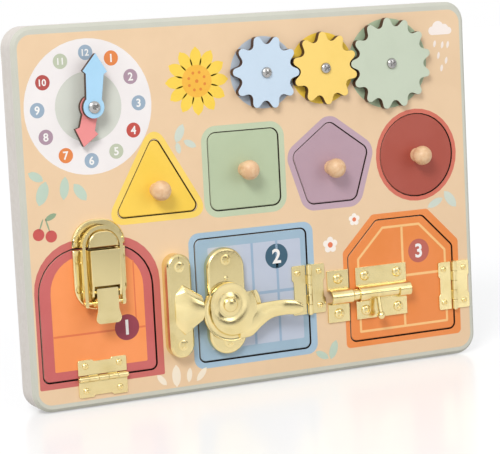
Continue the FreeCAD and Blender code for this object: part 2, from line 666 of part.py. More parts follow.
# Handle stations: distance right of the hub, height of its middle, half width, middle height out, half thickness
handle_stations = ((6.0, -8.0, 10.0, 7.2, 1.9), (14.0, -9.6, 8.2, 7.4, 1.9), (22.5, -5.0, 5.2, 8.6, 1.6),
                   (31.0, -2.6, 3.9, 10.6, 1.4), (39.0, -3.8, 4.3, 12.0, 1.2), (46.0, -5.6, 2.6, 12.2, 0.9))


def handle_section(reach, rise, half_width, out, half_thickness):
    """One oval section of the handle, in few chords, square to X."""
    turns = [math.pi * (2 * i + 1) / handle_sides for i in range(handle_sides)]
    return [at(sash_hub_x + reach, sash_hub_z + rise + half_width * math.cos(a), out + half_thickness * math.sin(a))
            for a in turns]


handle = skin([handle_section(*s) for s in handle_stations])
sash_lever = hub.fuse([cam, handle]).removeSplitter()
sash_lever = sash_lever.cut([disc(sash_hub_x, sash_hub_z, rivet_radius + running_fit, 0, sash_hub_out),
                             disc(sash_hub_x, sash_hub_z, sash_hub_radius, sash_hub_out,
                                  sash_hub_out + 5)])
keep("sash_lever", sash_lever)


# Barrel bolt on door 3: pressed keeper on the board, pressed barrel on the door, sliding rod and knob
def hump(x_low, x_high, radius):
    """A half-round ridge along X with straight sides down to the face."""
    block = box(x_low, x_high, bolt_z - radius, bolt_z + radius, 0, bolt_axis_out)
    front = box(x_low, x_high, bolt_z - radius, bolt_z + radius, bolt_axis_out, bolt_axis_out + radius)
    return block.fuse(along_bolt(x_low, x_high, radius).common(front)).removeSplitter()


def along_bolt(x_low, x_high, radius):
    return Part.makeCylinder(radius, x_high - x_low, at(x_low, bolt_z, bolt_axis_out), Vector(1, 0, 0))


def pressed(x_low, x_high):
    """A flat plate with a ridge pressed in it, open underneath."""
    inside = rod_radius + running_fit
    plate = box(x_low, x_high, bolt_z - bolt_plate_half, bolt_z + bolt_plate_half, 0, bolt_plate)
    solid = plate.fuse(hump(x_low, x_high, inside + hump_wall))
    return solid.removeSplitter().cut(hump(x_low - 1, x_high + 1, inside))


bolt_keeper = pressed(keeper_left, keeper_right)
bolt_keeper_screws = [screw((keeper_left + keeper_right) / 2, bolt_z + side * bolt_screw_z, bolt_plate,
                            large_head_radius, large_head_height) for side in (-1, 1)]
keep("bolt_keeper", bolt_keeper.cut(bolt_keeper_screws))
keep("bolt_keeper_screws", *bolt_keeper_screws)
screw_holes += bolt_keeper_screws

bolt_barrel = pressed(barrel_left, barrel_right)
hump_radius = rod_radius + running_fit + hump_wall
bolt_barrel = bolt_barrel.cut(box(window_left, window_right, bolt_z - hump_radius - 1, bolt_z + 1.6,
                                  bolt_plate + 0.1, bolt_axis_out + hump_radius + 1))
bolt_barrel_screws = [screw(x, bolt_z + side * bolt_screw_z, bolt_plate, large_head_radius, large_head_height)
                      for x in (barrel_left + 6.5, barrel_right - 6.5) for side in (-1, 1)]
keep("bolt_barrel", bolt_barrel.cut(bolt_barrel_screws))
keep("bolt_barrel_screws", *bolt_barrel_screws)
door_holes["door_3"] += bolt_barrel_screws

neck = rod_radius - eye_depth
rod = along_bolt(rod_left, rod_right, rod_radius)
rod = rod.makeChamfer(0.6, [e for e in rod.Edges if e.BoundBox.XMax < rod_left + 1e-6])
groove = along_bolt(knob_x - eye_width / 2, knob_x + eye_width / 2, rod_radius + 1)
rod = rod.cut(groove.cut(along_bolt(knob_x - eye_width, knob_x + eye_width, neck)))
keep("bolt_rod", rod)

eye_half = eye_width / 2 - running_fit
eye = along_bolt(knob_x - eye_half, knob_x + eye_half, rod_radius)
knob_profile = ((stem_radius, 0), (stem_radius, stem_length), (ball_radius, stem_length + 0.3 * ball_length),
                (ball_radius, stem_length + 0.6 * ball_length), (stem_radius, stem_length + ball_length))
stem = stepped(0, 0, head_sides, *[(radius, front_y + reach) for radius, reach in knob_profile])
stem.rotate(Vector(0, 0, 0), Vector(1, 0, 0), 90 - stem_lean)
stem.translate(at(knob_x, bolt_z, bolt_axis_out))
bolt_knob = eye.fuse(stem)
keep("bolt_knob", bolt_knob.cut(along_bolt(knob_x - eye_width, knob_x + eye_width, neck + running_fit)))


# Panels and doors last, once every screw that enters them is known
keep("back_panel", back_panel.cut(screw_holes))
keep("front_panel", front_panel.cut(screw_holes))
for name, corners in doors.items():
    panel = slab(corners, door_back_gap - front_thickness, 0)
    keep(name + "_panel", eased(panel, 0, door_bevel).cut(door_holes[name]))

os.makedirs("parts", exist_ok=True)
for name, shape in sorted(nodes.items()):
    shape.exportStep("parts/" + name + ".step")
print(len(nodes), "nodes")
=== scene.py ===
"""Looks of the wooden busy board: painted plywood, printed motifs, plated hardware, light and camera."""

import logging
import math
from collections.abc import Sequence
from dataclasses import dataclass, field
from enum import Enum

import bmesh
import bpy
from mathutils import Matrix, Vector


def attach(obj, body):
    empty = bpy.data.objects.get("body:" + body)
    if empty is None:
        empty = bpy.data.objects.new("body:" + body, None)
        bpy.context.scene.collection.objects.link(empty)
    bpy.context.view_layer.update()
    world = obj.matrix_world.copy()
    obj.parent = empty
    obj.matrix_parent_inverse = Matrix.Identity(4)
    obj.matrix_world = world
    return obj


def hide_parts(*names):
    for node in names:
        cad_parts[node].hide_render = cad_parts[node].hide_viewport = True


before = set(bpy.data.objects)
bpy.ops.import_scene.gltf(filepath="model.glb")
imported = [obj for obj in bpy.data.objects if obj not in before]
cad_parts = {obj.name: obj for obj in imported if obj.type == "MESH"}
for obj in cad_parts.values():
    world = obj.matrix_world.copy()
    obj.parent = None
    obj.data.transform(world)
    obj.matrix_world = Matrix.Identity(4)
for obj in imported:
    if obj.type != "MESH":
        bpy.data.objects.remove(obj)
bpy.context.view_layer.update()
log = logging.getLogger("busy_board")

Colour = tuple[float, float, float, float]
Corner = tuple[float, float, float]
Point = tuple[float, float, float]
Spot = tuple[float, float]
Socket = bpy.types.NodeSocket

MM = 0.001
# Place of the front face along Y, and thickness of the front panel, in millimetres
FACE_Y = -10.0
PANEL_DEPTH = 6.0
# Height that each print gains over one it crosses, in millimetres
PRINT_STEP = 0.01
PETAL_STEP = 0.001
# Edges sharper than this many degrees stay sharp, or are eased in so many steps where a width is given
SHARP_ANGLE = 40.0
EASED_STEPS = 2
# Points closer than this are one, in metres: on turned shapes, and on the loose triangles of CAD nodes
SEAM_GAP = 0.000004
TRIANGLE_GAP = 0.000005
# Size of the font, and thickening of its strokes, as shares of a digit's height
FONT_SHARE = 1.42
STROKE_SHARE = 0.035
BUMP_STRENGTH = 0.35
LACQUER_SHINE = 0.35


def rgb(red: int, green: int, blue: int) -> Colour:
    """The linear colour of a screen colour.

    Args:
        red: Red, 0 to 255.
        green: Green, 0 to 255.
        blue: Blue, 0 to 255.

    Returns:
        Linear red, green, blue and an alpha of 1.
    """
    def linear(part: int) -> float:
        """One channel made linear."""
        value = part / 255
        return value / 12.92 if value <= 0.04045 else ((value + 0.055) / 1.055) ** 2.4
    return linear(red), linear(green), linear(blue), 1.0


SCORCHED = rgb(92, 62, 44)
# Dark scorch on cut edges; on the front panel's opening walls and round the puzzle openings it is also
# painted shade in the gaps
SCORCH_AND_GAP_SHADE = rgb(48, 32, 24)
PALE_PLY = rgb(236, 222, 200)
PALE_PLY_DARK = rgb(206, 180, 148)
PALE_SIDE = rgb(236, 229, 221)
PALE_SIDE_DARK = rgb(231, 223, 214)
WHITE = rgb(250, 247, 243)
FULL_WHITE = rgb(255, 255, 255)
MINT = rgb(196, 214, 196)
SAGE = rgb(214, 222, 208)
CREAM = rgb(252, 238, 216)


class Body(str, Enum):
    """The moving bodies that new pieces ride on."""

    BOARD = "board"
    TRIANGLE = "triangle"
    SQUARE = "square"
    PENTAGON = "pentagon"
    ROUND = "round"
    DOOR_1 = "door_1"
    DOOR_2 = "door_2"
    DOOR_3 = "door_3"
    SASH_LEVER = "sash_lever"
    BOLT_KNOB = "bolt_knob"


class Layer(float, Enum):
    """Heights of the prints over the surface that carries them, in millimetres."""

    GROUND = 0.015
    BAND = 0.025
    SHAPE = 0.035
    DETAIL = 0.045
    NUMBER = 0.055


class Group(str, Enum):
    """Shader node groups that several finishes share."""

    FRONT = "front_face_mask"
    GRAIN = "wood_grain"
    LAYERS = "plywood_layers"
    SKIN = "lacquer_skin"
    PLATING = "plated_metal"


# Shader building

class Wiring:
    """Adds and joins the nodes of one material or node group."""

    def __init__(self, tree: bpy.types.NodeTree) -> None:
        """Keep the tree that is being wired."""
        self.tree = tree

    def feed(self, node: bpy.types.Node, inputs: dict[str | int, object]) -> None:
        """Fill some inputs of a node.

        Args:
            node: The node.
            inputs: Values, or sockets to link from, by input name or number.
        """
        for name, value in inputs.items():
            if isinstance(value, Socket):
                self.tree.links.new(value, node.inputs[name])
            else:
                node.inputs[name].default_value = value

    def add(self, kind: str, inputs: dict[str | int, object] | None = None,
            **settings: object) -> bpy.types.Node:
        """Add a node with its settings and inputs.

        Args:
            kind: The node's type name.
            inputs: Values, or sockets to link from, by input name or number.
            **settings: Properties of the node.

        Returns:
            The new node.
        """
        node = self.tree.nodes.new(kind)
        for name, value in settings.items():
            setattr(node, name, value)
        self.feed(node, inputs or {})
        return node

    def coordinates(self) -> Socket:
        """The Object coordinates of the piece."""
        return self.add("ShaderNodeTexCoord").outputs["Object"]

    def noise(self, vector: Socket, **inputs: float) -> Socket:
        """A soft noise over the piece, with its Scale and, where given, other inputs by name."""
        return self.add("ShaderNodeTexNoise", {"Vector": vector, **inputs}).outputs[0]

    def stretch(self, vector: Socket, factors: object) -> Socket:
        """Coordinates multiplied by a factor along each axis."""
        node = self.add("ShaderNodeVectorMath", {0: vector, 1: factors}, operation="MULTIPLY")
        return node.outputs[0]

    def math(self, operation: str, first: object, second: object = 0.0, clamp: bool = False) -> Socket:
        """The result socket of one sum."""
        node = self.add("ShaderNodeMath", {0: first, 1: second}, operation=operation, use_clamp=clamp)
        return node.outputs[0]

    def mix(self, share: object, first: object, second: object) -> Socket:
        """The result socket of a colour mix."""
        node = self.add("ShaderNodeMix", {0: share, 6: first, 7: second}, data_type="RGBA")
        return node.outputs[2]

    def ramp(self, value: object, low: float, high: float) -> Socket:
        """The result socket of a smooth step from 0 at low to 1 at high."""
        node = self.add("ShaderNodeMapRange", {0: value, 1: low, 2: high}, interpolation_type="SMOOTHSTEP")
        return node.outputs[0]


class GroupShelf:
    """Builds each shared node group once and places it in materials."""

    @staticmethod
    def start(group: Group, inputs: dict[str, str], outputs: dict[str, str]) -> Wiring:
        """A new group tree with its named sockets.

        Args:
            group: Which group this is.
            inputs: Socket types by input name.
            outputs: Socket types by output name.

        Returns:
            The wiring of the group's tree.
        """
        tree = bpy.data.node_groups.new(group.value, "ShaderNodeTree")
        for way, sockets in (("INPUT", inputs), ("OUTPUT", outputs)):
            for name, kind in sockets.items():
                tree.interface.new_socket(name, in_out=way, socket_type="NodeSocket" + kind)
        return Wiring(tree)

    @classmethod
    def front(cls) -> None:
        """A mask that is 1 on faces that look out of the front."""
        wiring = cls.start(Group.FRONT, {}, {"Front": "Float"})
        normal = wiring.add("ShaderNodeTexCoord").outputs["Normal"]
        parts = wiring.add("ShaderNodeSeparateXYZ", {0: normal})
        ahead = wiring.math("MULTIPLY", parts.outputs["Y"], -1.0)
        wiring.add("NodeGroupOutput", {"Front": wiring.ramp(ahead, low=0.35, high=0.75)})

    @classmethod
    def grain(cls) -> None:
        """Long soft fibres of a pale wood along one stretched axis."""
        wiring = cls.start(Group.GRAIN, {"Stretch": "Vector", "Light": "Color", "Dark": "Color"},
                           {"Color": "Color", "Height": "Float"})
        entry = wiring.add("NodeGroupInput").outputs
        fibre = wiring.noise(wiring.stretch(wiring.coordinates(), entry["Stretch"]), Scale=260.0, Detail=4.0,
                             Roughness=0.6, Distortion=0.4)
        share = wiring.ramp(fibre, low=0.36, high=0.66)
        wiring.add("NodeGroupOutput", {"Color": wiring.mix(share, entry["Light"], entry["Dark"]),
                                       "Height": fibre})

    @classmethod
    def layers(cls) -> None:
        """Thin plies one behind another along Y, as on the cut edge of plywood."""
        wiring = cls.start(Group.LAYERS, {"Plies per metre": "Float", "Light": "Color", "Dark": "Color"},
                           {"Color": "Color"})
        entry = wiring.add("NodeGroupInput").outputs
        place = wiring.coordinates()
        depth = wiring.add("ShaderNodeSeparateXYZ", {0: place}).outputs["Y"]
        wander = wiring.noise(place, Scale=90.0)
        turn = wiring.math("MULTIPLY", depth, entry["Plies per metre"])
        wave = wiring.math("SINE", wiring.math("ADD", turn, wander))
        share = wiring.ramp(wave, low=0.1, high=0.8)
        wiring.add("NodeGroupOutput", {"Color": wiring.mix(share, entry["Light"], entry["Dark"])})

    @classmethod
    def skin(cls) -> None:
        """A thin lacquer: a little mottling of the colour, uneven gloss and a faint ripple."""
        wiring = cls.start(Group.SKIN, {"Color": "Color", "Mottle": "Float", "Gloss": "Float"},
                           {"Color": "Color", "Roughness": "Float", "Height": "Float"})
        entry = wiring.add("NodeGroupInput").outputs
        place = wiring.coordinates()
        cloud = wiring.noise(place, Scale=45.0, Detail=3.0)
        speck = wiring.noise(place, Scale=900.0, Detail=2.0)
        deep = wiring.add("ShaderNodeHueSaturation", {"Saturation": 1.05, "Value": 0.9,
                                                      "Color": entry["Color"]}).outputs[0]
        share = wiring.math("MULTIPLY", wiring.ramp(cloud, low=0.35, high=0.7), entry["Mottle"])
        gloss = wiring.math("ADD", entry["Gloss"], wiring.math("MULTIPLY", cloud, 0.08))
        wiring.add("NodeGroupOutput", {"Color": wiring.mix(share, entry["Color"], deep),
                                       "Roughness": gloss, "Height": speck})

    @classmethod
    def plating(cls) -> None:
        """Bright plating: faint clouding of the tone, fine rubbing marks and uneven gloss."""
        wiring = cls.start(Group.PLATING, {"Color": "Color", "Worn": "Color", "Gloss": "Float"},
                           {"Color": "Color", "Roughness": "Float", "Height": "Float"})
        entry = wiring.add("NodeGroupInput").outputs
        place = wiring.coordinates()
        cloud = wiring.noise(place, Scale=70.0, Detail=3.0)
        rubbed = wiring.noise(wiring.stretch(place, (40.0, 40.0, 900.0)), Scale=3.0, Detail=3.0)
        share = wiring.ramp(cloud, low=0.45, high=0.8)
        gloss = wiring.math("ADD", entry["Gloss"], wiring.math("MULTIPLY", cloud, 0.12))
        wiring.add("NodeGroupOutput", {"Color": wiring.mix(share, entry["Color"], entry["Worn"]),
                                       "Roughness": gloss, "Height": rubbed})

    @classmethod
    def place(cls, wiring: Wiring, group: Group, inputs: dict[str, object] | None = None) -> bpy.types.Node:
        """Place a shared group in a material, and build it first if needed.

        Args:
            wiring: The material's wiring.
            group: The group to place.
            inputs: Its values or links by name.

        Returns:
            The group node.
        """
        if group.value not in bpy.data.node_groups:
            makers = {Group.FRONT: cls.front, Group.GRAIN: cls.grain, Group.LAYERS: cls.layers,
                      Group.SKIN: cls.skin, Group.PLATING: cls.plating}
            makers[group]()
        return wiring.add("ShaderNodeGroup", inputs, node_tree=bpy.data.node_groups[group.value])


# Finishes

@dataclass(frozen=True)
class Finish:
    """A finish with its own Principled shader, built once by name."""

    name: str

    def material(self) -> bpy.types.Material:
        """The material of this finish, made on first use.

        Returns:
            The material.
        """
        found = bpy.data.materials.get(self.name)
        if found:
            return found
        made = bpy.data.materials.new(self.name)
        made.use_nodes = True
        self.wire(Wiring(made.node_tree), made.node_tree.nodes["Principled BSDF"])
        return made

    def wire(self, wiring: Wiring, shader: bpy.types.Node) -> None:
        """Wire this finish's pattern to its shader."""
        raise NotImplementedError

    @staticmethod
    def emboss(wiring: Wiring, shader: bpy.types.Node, height: Socket, ripple: float) -> None:
        """Give the shader a bump whose pattern is so many metres deep."""
        bump = wiring.add("ShaderNodeBump", {"Strength": BUMP_STRENGTH, "Distance": ripple, "Height": height})
        wiring.feed(shader, {"Normal": bump.outputs[0]})

    @classmethod
    def coat(cls, wiring: Wiring, shader: bpy.types.Node, layer: bpy.types.Node, ripple: float) -> None:
        """Feed the shader from the colour, roughness and height of a placed group."""
        wiring.feed(shader, {"Base Color": layer.outputs["Color"], "Roughness": layer.outputs["Roughness"]})
        cls.emboss(wiring, shader, layer.outputs["Height"], ripple)

    @classmethod
    def lacquer(cls, wiring: Wiring, shader: bpy.types.Node, colour: object, mottle: float, gloss: float,
                ripple: float) -> None:
        """Coat the shader with the shared lacquer.

        Args:
            wiring: The material's wiring.
            shader: The Principled shader.
            colour: The colour under the lacquer, or its socket.
            mottle: How strongly the colour is mottled, 0 to 1.
            gloss: The least roughness.
            ripple: Depth of the ripple, in metres.
        """
        skin = GroupShelf.place(wiring, Group.SKIN, {"Color": colour, "Mottle": mottle, "Gloss": gloss})
        cls.coat(wiring, shader, skin, ripple)
        wiring.feed(shader, {"Specular IOR Level": LACQUER_SHINE})


@dataclass(frozen=True)
class Print(Finish):
    """A flat printed colour under matt lacquer."""

    colour: Colour
    gloss: float = 0.48
    mottle: float = 0.35
    ripple: float = 0.00002

    def wire(self, wiring: Wiring, shader: bpy.types.Node) -> None:
        """Mottled ink with a faint ripple."""
        self.lacquer(wiring, shader, self.colour, self.mottle, self.gloss, self.ripple)


@dataclass(frozen=True)
class PaintedPly(Finish):
    """Plywood painted on its front, with bare or scorched cut edges."""

    face: Colour
    edge: Colour
    edge_dark: Colour
    plies_per_metre: float = 5200.0
    gloss: float = 0.45
    mottle: float = 0.4
    ripple: float = 0.00003

    def wire(self, wiring: Wiring, shader: bpy.types.Node) -> None:
        """Paint ahead, plies on the cut edges.

        Args:
            wiring: The material's wiring.
            shader: The Principled shader.
        """
        front = GroupShelf.place(wiring, Group.FRONT).outputs["Front"]
        plies = GroupShelf.place(wiring, Group.LAYERS, {"Plies per metre": self.plies_per_metre,
                                                        "Light": self.edge, "Dark": self.edge_dark})
        colour = wiring.mix(front, plies.outputs["Color"], self.face)
        self.lacquer(wiring, shader, colour, self.mottle, self.gloss, self.ripple)


@dataclass(frozen=True)
class PrintedBoard(Finish):
    """The front panel: a peach field inside a grey rim, pale sides, and walls in the openings painted dark as
    scorch and painted shade.
    """

    peach: Colour
    rim: Colour
    low: Spot
    high: Spot
    corner: float
    plies_per_metre: float = 3600.0
    gloss: float = 0.47
    mottle: float = 0.3
    ripple: float = 0.00002
    # Half width of the line between field and rim, and where the scorch and painted shade of the opening
    # walls ends and is full, in metres
    blur: float = 0.00015
    scorch_shade_end: float = 0.0012
    scorch_shade_full: float = 0.0008

    def past_field(self, wiring: Wiring) -> Socket:
        """How far a place lies outside the field, a rounded rectangle, in metres.

        Args:
            wiring: The material's wiring.

        Returns:
            The distance, below zero inside the field.
        """
        parts = wiring.add("ShaderNodeSeparateXYZ", {0: wiring.coordinates()})
        squares = []
        for axis, low, high in zip("XZ", self.low, self.high):
            centre = (low + high) / 2 * MM
            half = ((high - low) / 2 - self.corner) * MM
            away = wiring.math("ABSOLUTE", wiring.math("SUBTRACT", parts.outputs[axis], centre))
            reach = wiring.math("MAXIMUM", wiring.math("SUBTRACT", away, half), 0.0)
            squares.append(wiring.math("POWER", reach, 2.0))
        across = wiring.math("SQRT", wiring.math("ADD", *squares))
        return wiring.math("SUBTRACT", across, self.corner * MM)

    def wire(self, wiring: Wiring, shader: bpy.types.Node) -> None:
        """The printed face ahead, and the walls round and inside the panel.

        Args:
            wiring: The material's wiring.
            shader: The Principled shader.
        """
        past = self.past_field(wiring)
        printed = wiring.mix(wiring.ramp(past, low=-self.blur, high=self.blur), self.peach, self.rim)
        front = GroupShelf.place(wiring, Group.FRONT).outputs["Front"]
        plies = GroupShelf.place(wiring, Group.LAYERS, {"Plies per metre": self.plies_per_metre,
                                                        "Light": PALE_SIDE, "Dark": PALE_SIDE_DARK})
        # The walls inside the openings are painted dark: scorch and painted shade in the gaps
        inside = wiring.ramp(past, low=self.scorch_shade_end, high=self.scorch_shade_full)
        walls = wiring.mix(inside, plies.outputs["Color"], SCORCH_AND_GAP_SHADE)
        self.lacquer(wiring, shader, wiring.mix(front, walls, printed), self.mottle, self.gloss, self.ripple)


@dataclass(frozen=True)
class Wood(Finish):
    """Bare or pale-stained wood with a fine grain."""

    light: Colour
    dark: Colour
    stretch: Point
    gloss: float = 0.42
    ripple: float = 0.00006

    def wire(self, wiring: Wiring, shader: bpy.types.Node) -> None:
        """Grain colours and a grain bump under a thin oil.

        Args:
            wiring: The material's wiring.
            shader: The Principled shader.
        """
        grain = GroupShelf.place(wiring, Group.GRAIN, {"Stretch": self.stretch, "Light": self.light,
                                                       "Dark": self.dark})
        wiring.feed(shader, {"Base Color": grain.outputs["Color"], "Roughness": self.gloss})
        self.emboss(wiring, shader, grain.outputs["Height"], self.ripple)


@dataclass(frozen=True)
class Plate(Finish):
    """Bright plated metal."""

    colour: Colour
    worn: Colour
    gloss: float = 0.16
    ripple: float = 0.00001

    def wire(self, wiring: Wiring, shader: bpy.types.Node) -> None:
        """Metal with clouded tone, rubbing marks and uneven gloss.

        Args:
            wiring: The material's wiring.
            shader: The Principled shader.
        """
        plating = GroupShelf.place(wiring, Group.PLATING, {"Color": self.colour, "Worn": self.worn,
                                                           "Gloss": self.gloss})
        self.coat(wiring, shader, plating, self.ripple)
        wiring.feed(shader, {"Metallic": 1.0})


GOLD = Plate("gold_plating", (0.87, 0.73, 0.38, 1.0), (0.78, 0.63, 0.29, 1.0))
STEEL = Plate("steel_screw", (0.48, 0.47, 0.46, 1.0), (0.34, 0.33, 0.33, 1.0), gloss=0.2)
BEECH = Wood("beech_knob", rgb(240, 203, 162), rgb(226, 182, 138), stretch=(1.0, 0.12, 1.0))
NYLON = Print("nylon_washer", rgb(190, 196, 204), gloss=0.35)
PALE_BACK = Wood("pale_back_panel", PALE_SIDE, PALE_SIDE_DARK, stretch=(0.06, 1.0, 1.0), gloss=0.55)
NUMBER_WHITE = Print("number_white", WHITE)


# Mesh making

def spot(x: float, z: float, out: float = 0.0) -> Vector:
    """A point over the front face, in metres, from millimetres."""
    return Vector((x * MM, (FACE_Y - out) * MM, z * MM))


def neighbours(corners: Sequence[Corner], i: int) -> tuple[Vector, Vector]:
    """The ways from one corner to the corners before and after it."""
    here = Vector(corners[i][:2])
    return Vector(corners[i - 1][:2]) - here, Vector(corners[(i + 1) % len(corners)][:2]) - here


def verts_in(result: dict) -> list[bmesh.types.BMVert]:
    """The vertices among what an operator made."""
    return [item for item in result["geom"] if isinstance(item, bmesh.types.BMVert)]


@dataclass
class Workpiece:
    """A mesh under work, in metres, that becomes one finished object."""

    name: str
    body: Body
    mesh: bmesh.types.BMesh = field(default_factory=bmesh.new)

    def flat(self, corners: Sequence[Corner], out: float, segments: int = 8) -> list[bmesh.types.BMFace]:
        """A flat face over the board whose corners are rounded.

        Args:
            corners: Corners (x, z, radius) in millimetres, counter-clockwise from the front.
            out: Height over the front face.
            segments: Steps in each round corner.

        Returns:
            The face, in a list.
        """
        before = set(self.mesh.faces)
        verts = [self.mesh.verts.new(spot(x, z, out)) for x, z, _ in corners]
        self.mesh.faces.new(verts)
        for i, vert in enumerate(verts):
            radius = corners[i][2]
            if radius > 0:
                one, two = neighbours(corners, i)
                reach = radius / math.tan(one.angle(two) / 2)
                bmesh.ops.bevel(self.mesh, geom=[vert], offset=reach * MM, offset_type="OFFSET",
                                affect="VERTICES", segments=segments, profile=0.5, material=-1,
                                clamp_overlap=True)
        return [face for face in self.mesh.faces if face not in before]

    def plate(self, corners: Sequence[Corner], low: float, high: float, segments: int = 8) -> None:
        """A flat piece between two heights over the face.

        Args:
            corners: Its outline.
            low: Height of its back.
            high: Height of its front.
            segments: Steps in each round corner.
        """
        faces = self.flat(corners, low, segments)
        lid = bmesh.ops.extrude_face_region(self.mesh, geom=faces, use_keep_orig=True)
        bmesh.ops.translate(self.mesh, vec=Vector((0, (low - high) * MM, 0)), verts=verts_in(lid))
        bmesh.ops.recalc_face_normals(self.mesh, faces=self.mesh.faces[:])

    def band(self, outer: Sequence[Corner], inner: Sequence[Corner], out: float) -> None:
        """A flat frame between two outlines with the same number of corners.

        Args:
            outer: The outer outline.
            inner: The inner outline.
            out: Height over the front face.
        """
        for corners in (outer, inner):
            face = self.flat(corners, out)
            bmesh.ops.delete(self.mesh, geom=face, context="FACES_ONLY")
        edges = [e for e in self.mesh.edges if e.is_wire]
        bmesh.ops.bridge_loops(self.mesh, edges=edges)
        self.face_front()

    def disc(self, x: float, z: float, radius: float, out: float, squash: float = 1.0,
             turn: float = 0.0) -> None:
        """A flat disc or oval over the face.

        Args:
            x: Middle across, in millimetres.
            z: Middle height.
            radius: Its radius.
            out: Height over the front face.
            squash: Its width as a share of its height.
            turn: Clockwise turn after that, in degrees.
        """
        place = Matrix.Translation(spot(x, z, out)) @ Matrix.Rotation(math.radians(turn), 4, "Y") \
            @ Matrix.Rotation(math.pi / 2, 4, "X") @ Matrix.Diagonal((squash, 1, 1, 1))
        bmesh.ops.create_circle(self.mesh, cap_ends=True, segments=48, radius=radius * MM, matrix=place)
        self.face_front()

    def face_front(self) -> None:
        """Turn every flat face to the front."""
        self.mesh.normal_update()
        wrong = [f for f in self.mesh.faces if f.normal.y > 0.5]
        bmesh.ops.reverse_faces(self.mesh, faces=wrong)

    def spin(self, chain: list[bmesh.types.BMVert], edges: list[bmesh.types.BMEdge], centre: Vector,
             axis: Vector, steps: int) -> None:
        """Turn a chain of edges once round an axis and close its seams.

        Args:
            chain: The vertices.
            edges: The edges between them.
            centre: A point of the axis.
            axis: Its direction.
            steps: Steps round it.
        """
        bmesh.ops.spin(self.mesh, geom=chain + edges, cent=centre, axis=axis, dvec=Vector(),
                       angle=2 * math.pi, steps=steps, use_merge=True)
        bmesh.ops.remove_doubles(self.mesh, verts=self.mesh.verts[:], dist=SEAM_GAP)
        bmesh.ops.recalc_face_normals(self.mesh, faces=self.mesh.faces[:])

    def lathe(self, x: float, z: float, profile: Sequence[Spot], steps: int = 32) -> None:
        """A turned solid square to the face.

        Args:
            x: Axis across, in millimetres.
            z: Axis height.
            profile: Points (radius, out) from one end of the axis to the other.
            steps: Steps round the axis.
        """
        chain = [self.mesh.verts.new(spot(x + radius, z, out)) for radius, out in profile]
        edges = [self.mesh.edges.new(pair) for pair in zip(chain, chain[1:])]
        self.spin(chain, edges, spot(x, z), Vector((0, 1, 0)), steps)

    def bar(self, start: Vector, end: Vector, radius: float, tip: float | None = None) -> None:
        """A round bar between two points in metres.

        Args:
            start: One end.
            end: The other end.
            radius: Radius at the start, in millimetres.
            tip: Radius at the end, where it differs.
        """
        way = end - start
        place = Matrix.Translation((start + end) / 2) @ way.to_track_quat("Z", "Y").to_matrix().to_4x4()
        bmesh.ops.create_cone(self.mesh, cap_ends=True, segments=24, radius1=radius * MM,
                              radius2=(radius if tip is None else tip) * MM, depth=way.length, matrix=place)

    def block(self, low: Vector, high: Vector) -> None:
        """A box between two corners in metres.

        Args:
            low: One corner.
            high: The opposite corner.
        """
        size = high - low
        place = Matrix.Translation((low + high) / 2) @ Matrix.Diagonal((size.x, size.y, size.z, 1))
        bmesh.ops.create_cube(self.mesh, size=1.0, matrix=place)

    def move(self, matrix: Matrix) -> None:
        """Move or turn the whole mesh."""
        bmesh.ops.transform(self.mesh, matrix=matrix, verts=self.mesh.verts[:])

    def done(self, finish: Finish, stands_for: Sequence[str] = (), smooth: float = SHARP_ANGLE,
             bevel: float = 0.0) -> bpy.types.Object:
        """Make the object, dress it and hang it on its body.

        Args:
            finish: The finish of the whole piece.
            stands_for: CAD nodes that this piece replaces.
            smooth: Edges sharper than this many degrees stay sharp.
            bevel: Width of a fine bevel on the sharp edges, in millimetres.

        Returns:
            The finished object.
        """
        data = bpy.data.meshes.new(self.name)
        self.mesh.to_mesh(data)
        self.mesh.free()
        made = bpy.data.objects.new(self.name, data)
        bpy.context.scene.collection.objects.link(made)
        data.materials.append(finish.material())
        data.shade_smooth()
        data.set_sharp_from_angle(angle=math.radians(smooth))
        if bevel:
            soften(made, bevel)
        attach(made, self.body.value)
        if stands_for:
            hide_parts(*stands_for)
        return made


def soften(piece: bpy.types.Object, width: float) -> None:
    """Ease the sharp edges of a piece.

    Args:
        piece: The piece.
        width: Width of the eased edge, in millimetres.
    """
    bevel = piece.modifiers.new("eased_edges", "BEVEL")
    bevel.width = width * MM
    bevel.segments = EASED_STEPS
    bevel.limit_method = "ANGLE"
    bevel.angle_limit = math.radians(SHARP_ANGLE)
    bevel.harden_normals = True


def dress(node: str, finish: Finish, bevel: float = 0.0) -> None:
    """Give a CAD node its finish, and eased edges where a width is given.

    Args:
        node: The node's name.
        finish: Its finish.
        bevel: Width of the eased edges, in millimetres.
    """
    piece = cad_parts[node]
    piece.data.materials.clear()
    piece.data.materials.append(finish.material())
    if bevel:
        piece.data.shade_smooth()
        weld = piece.modifiers.new("joined_triangles", "WELD")
        weld.merge_threshold = TRIANGLE_GAP
        soften(piece, bevel)
        flats = piece.modifiers.new("flat_faces_stay_flat", "WEIGHTED_NORMAL")
        flats.keep_sharp = True
        flats.weight = 100


# Outlines

def grown(corners: Sequence[Corner], amount: float) -> list[Corner]:
    """The same convex outline moved out all round.

    Args:
        corners: The outline.
        amount: How far it moves, in millimetres, below zero for inwards.

    Returns:
        The new outline.
    """
    result = []
    for i, (x, z, radius) in enumerate(corners):
        one, two = (way.normalized() for way in neighbours(corners, i))
        shift = (one + two).normalized() * (amount / math.sin(one.angle(two) / 2))
        result.append((x - shift.x, z - shift.y, radius + amount))
    return result


def regular(count: int, radius: float, x: float, z: float, corner: float) -> list[Corner]:
    """Corners of a regular figure with its first corner at the top."""
    angles = [math.pi / 2 + 2 * math.pi * i / count for i in range(count)]
    return [(x + radius * math.cos(a), z + radius * math.sin(a), corner) for a in angles]


def rectangle(left: float, right: float, low: float, high: float, corner: float = 0.0,
              top: float | None = None) -> list[Corner]:
    """A rectangle with one corner radius below and, where given, another above."""
    upper = corner if top is None else top
    return [(left, low, corner), (right, low, corner), (right, high, upper), (left, high, upper)]


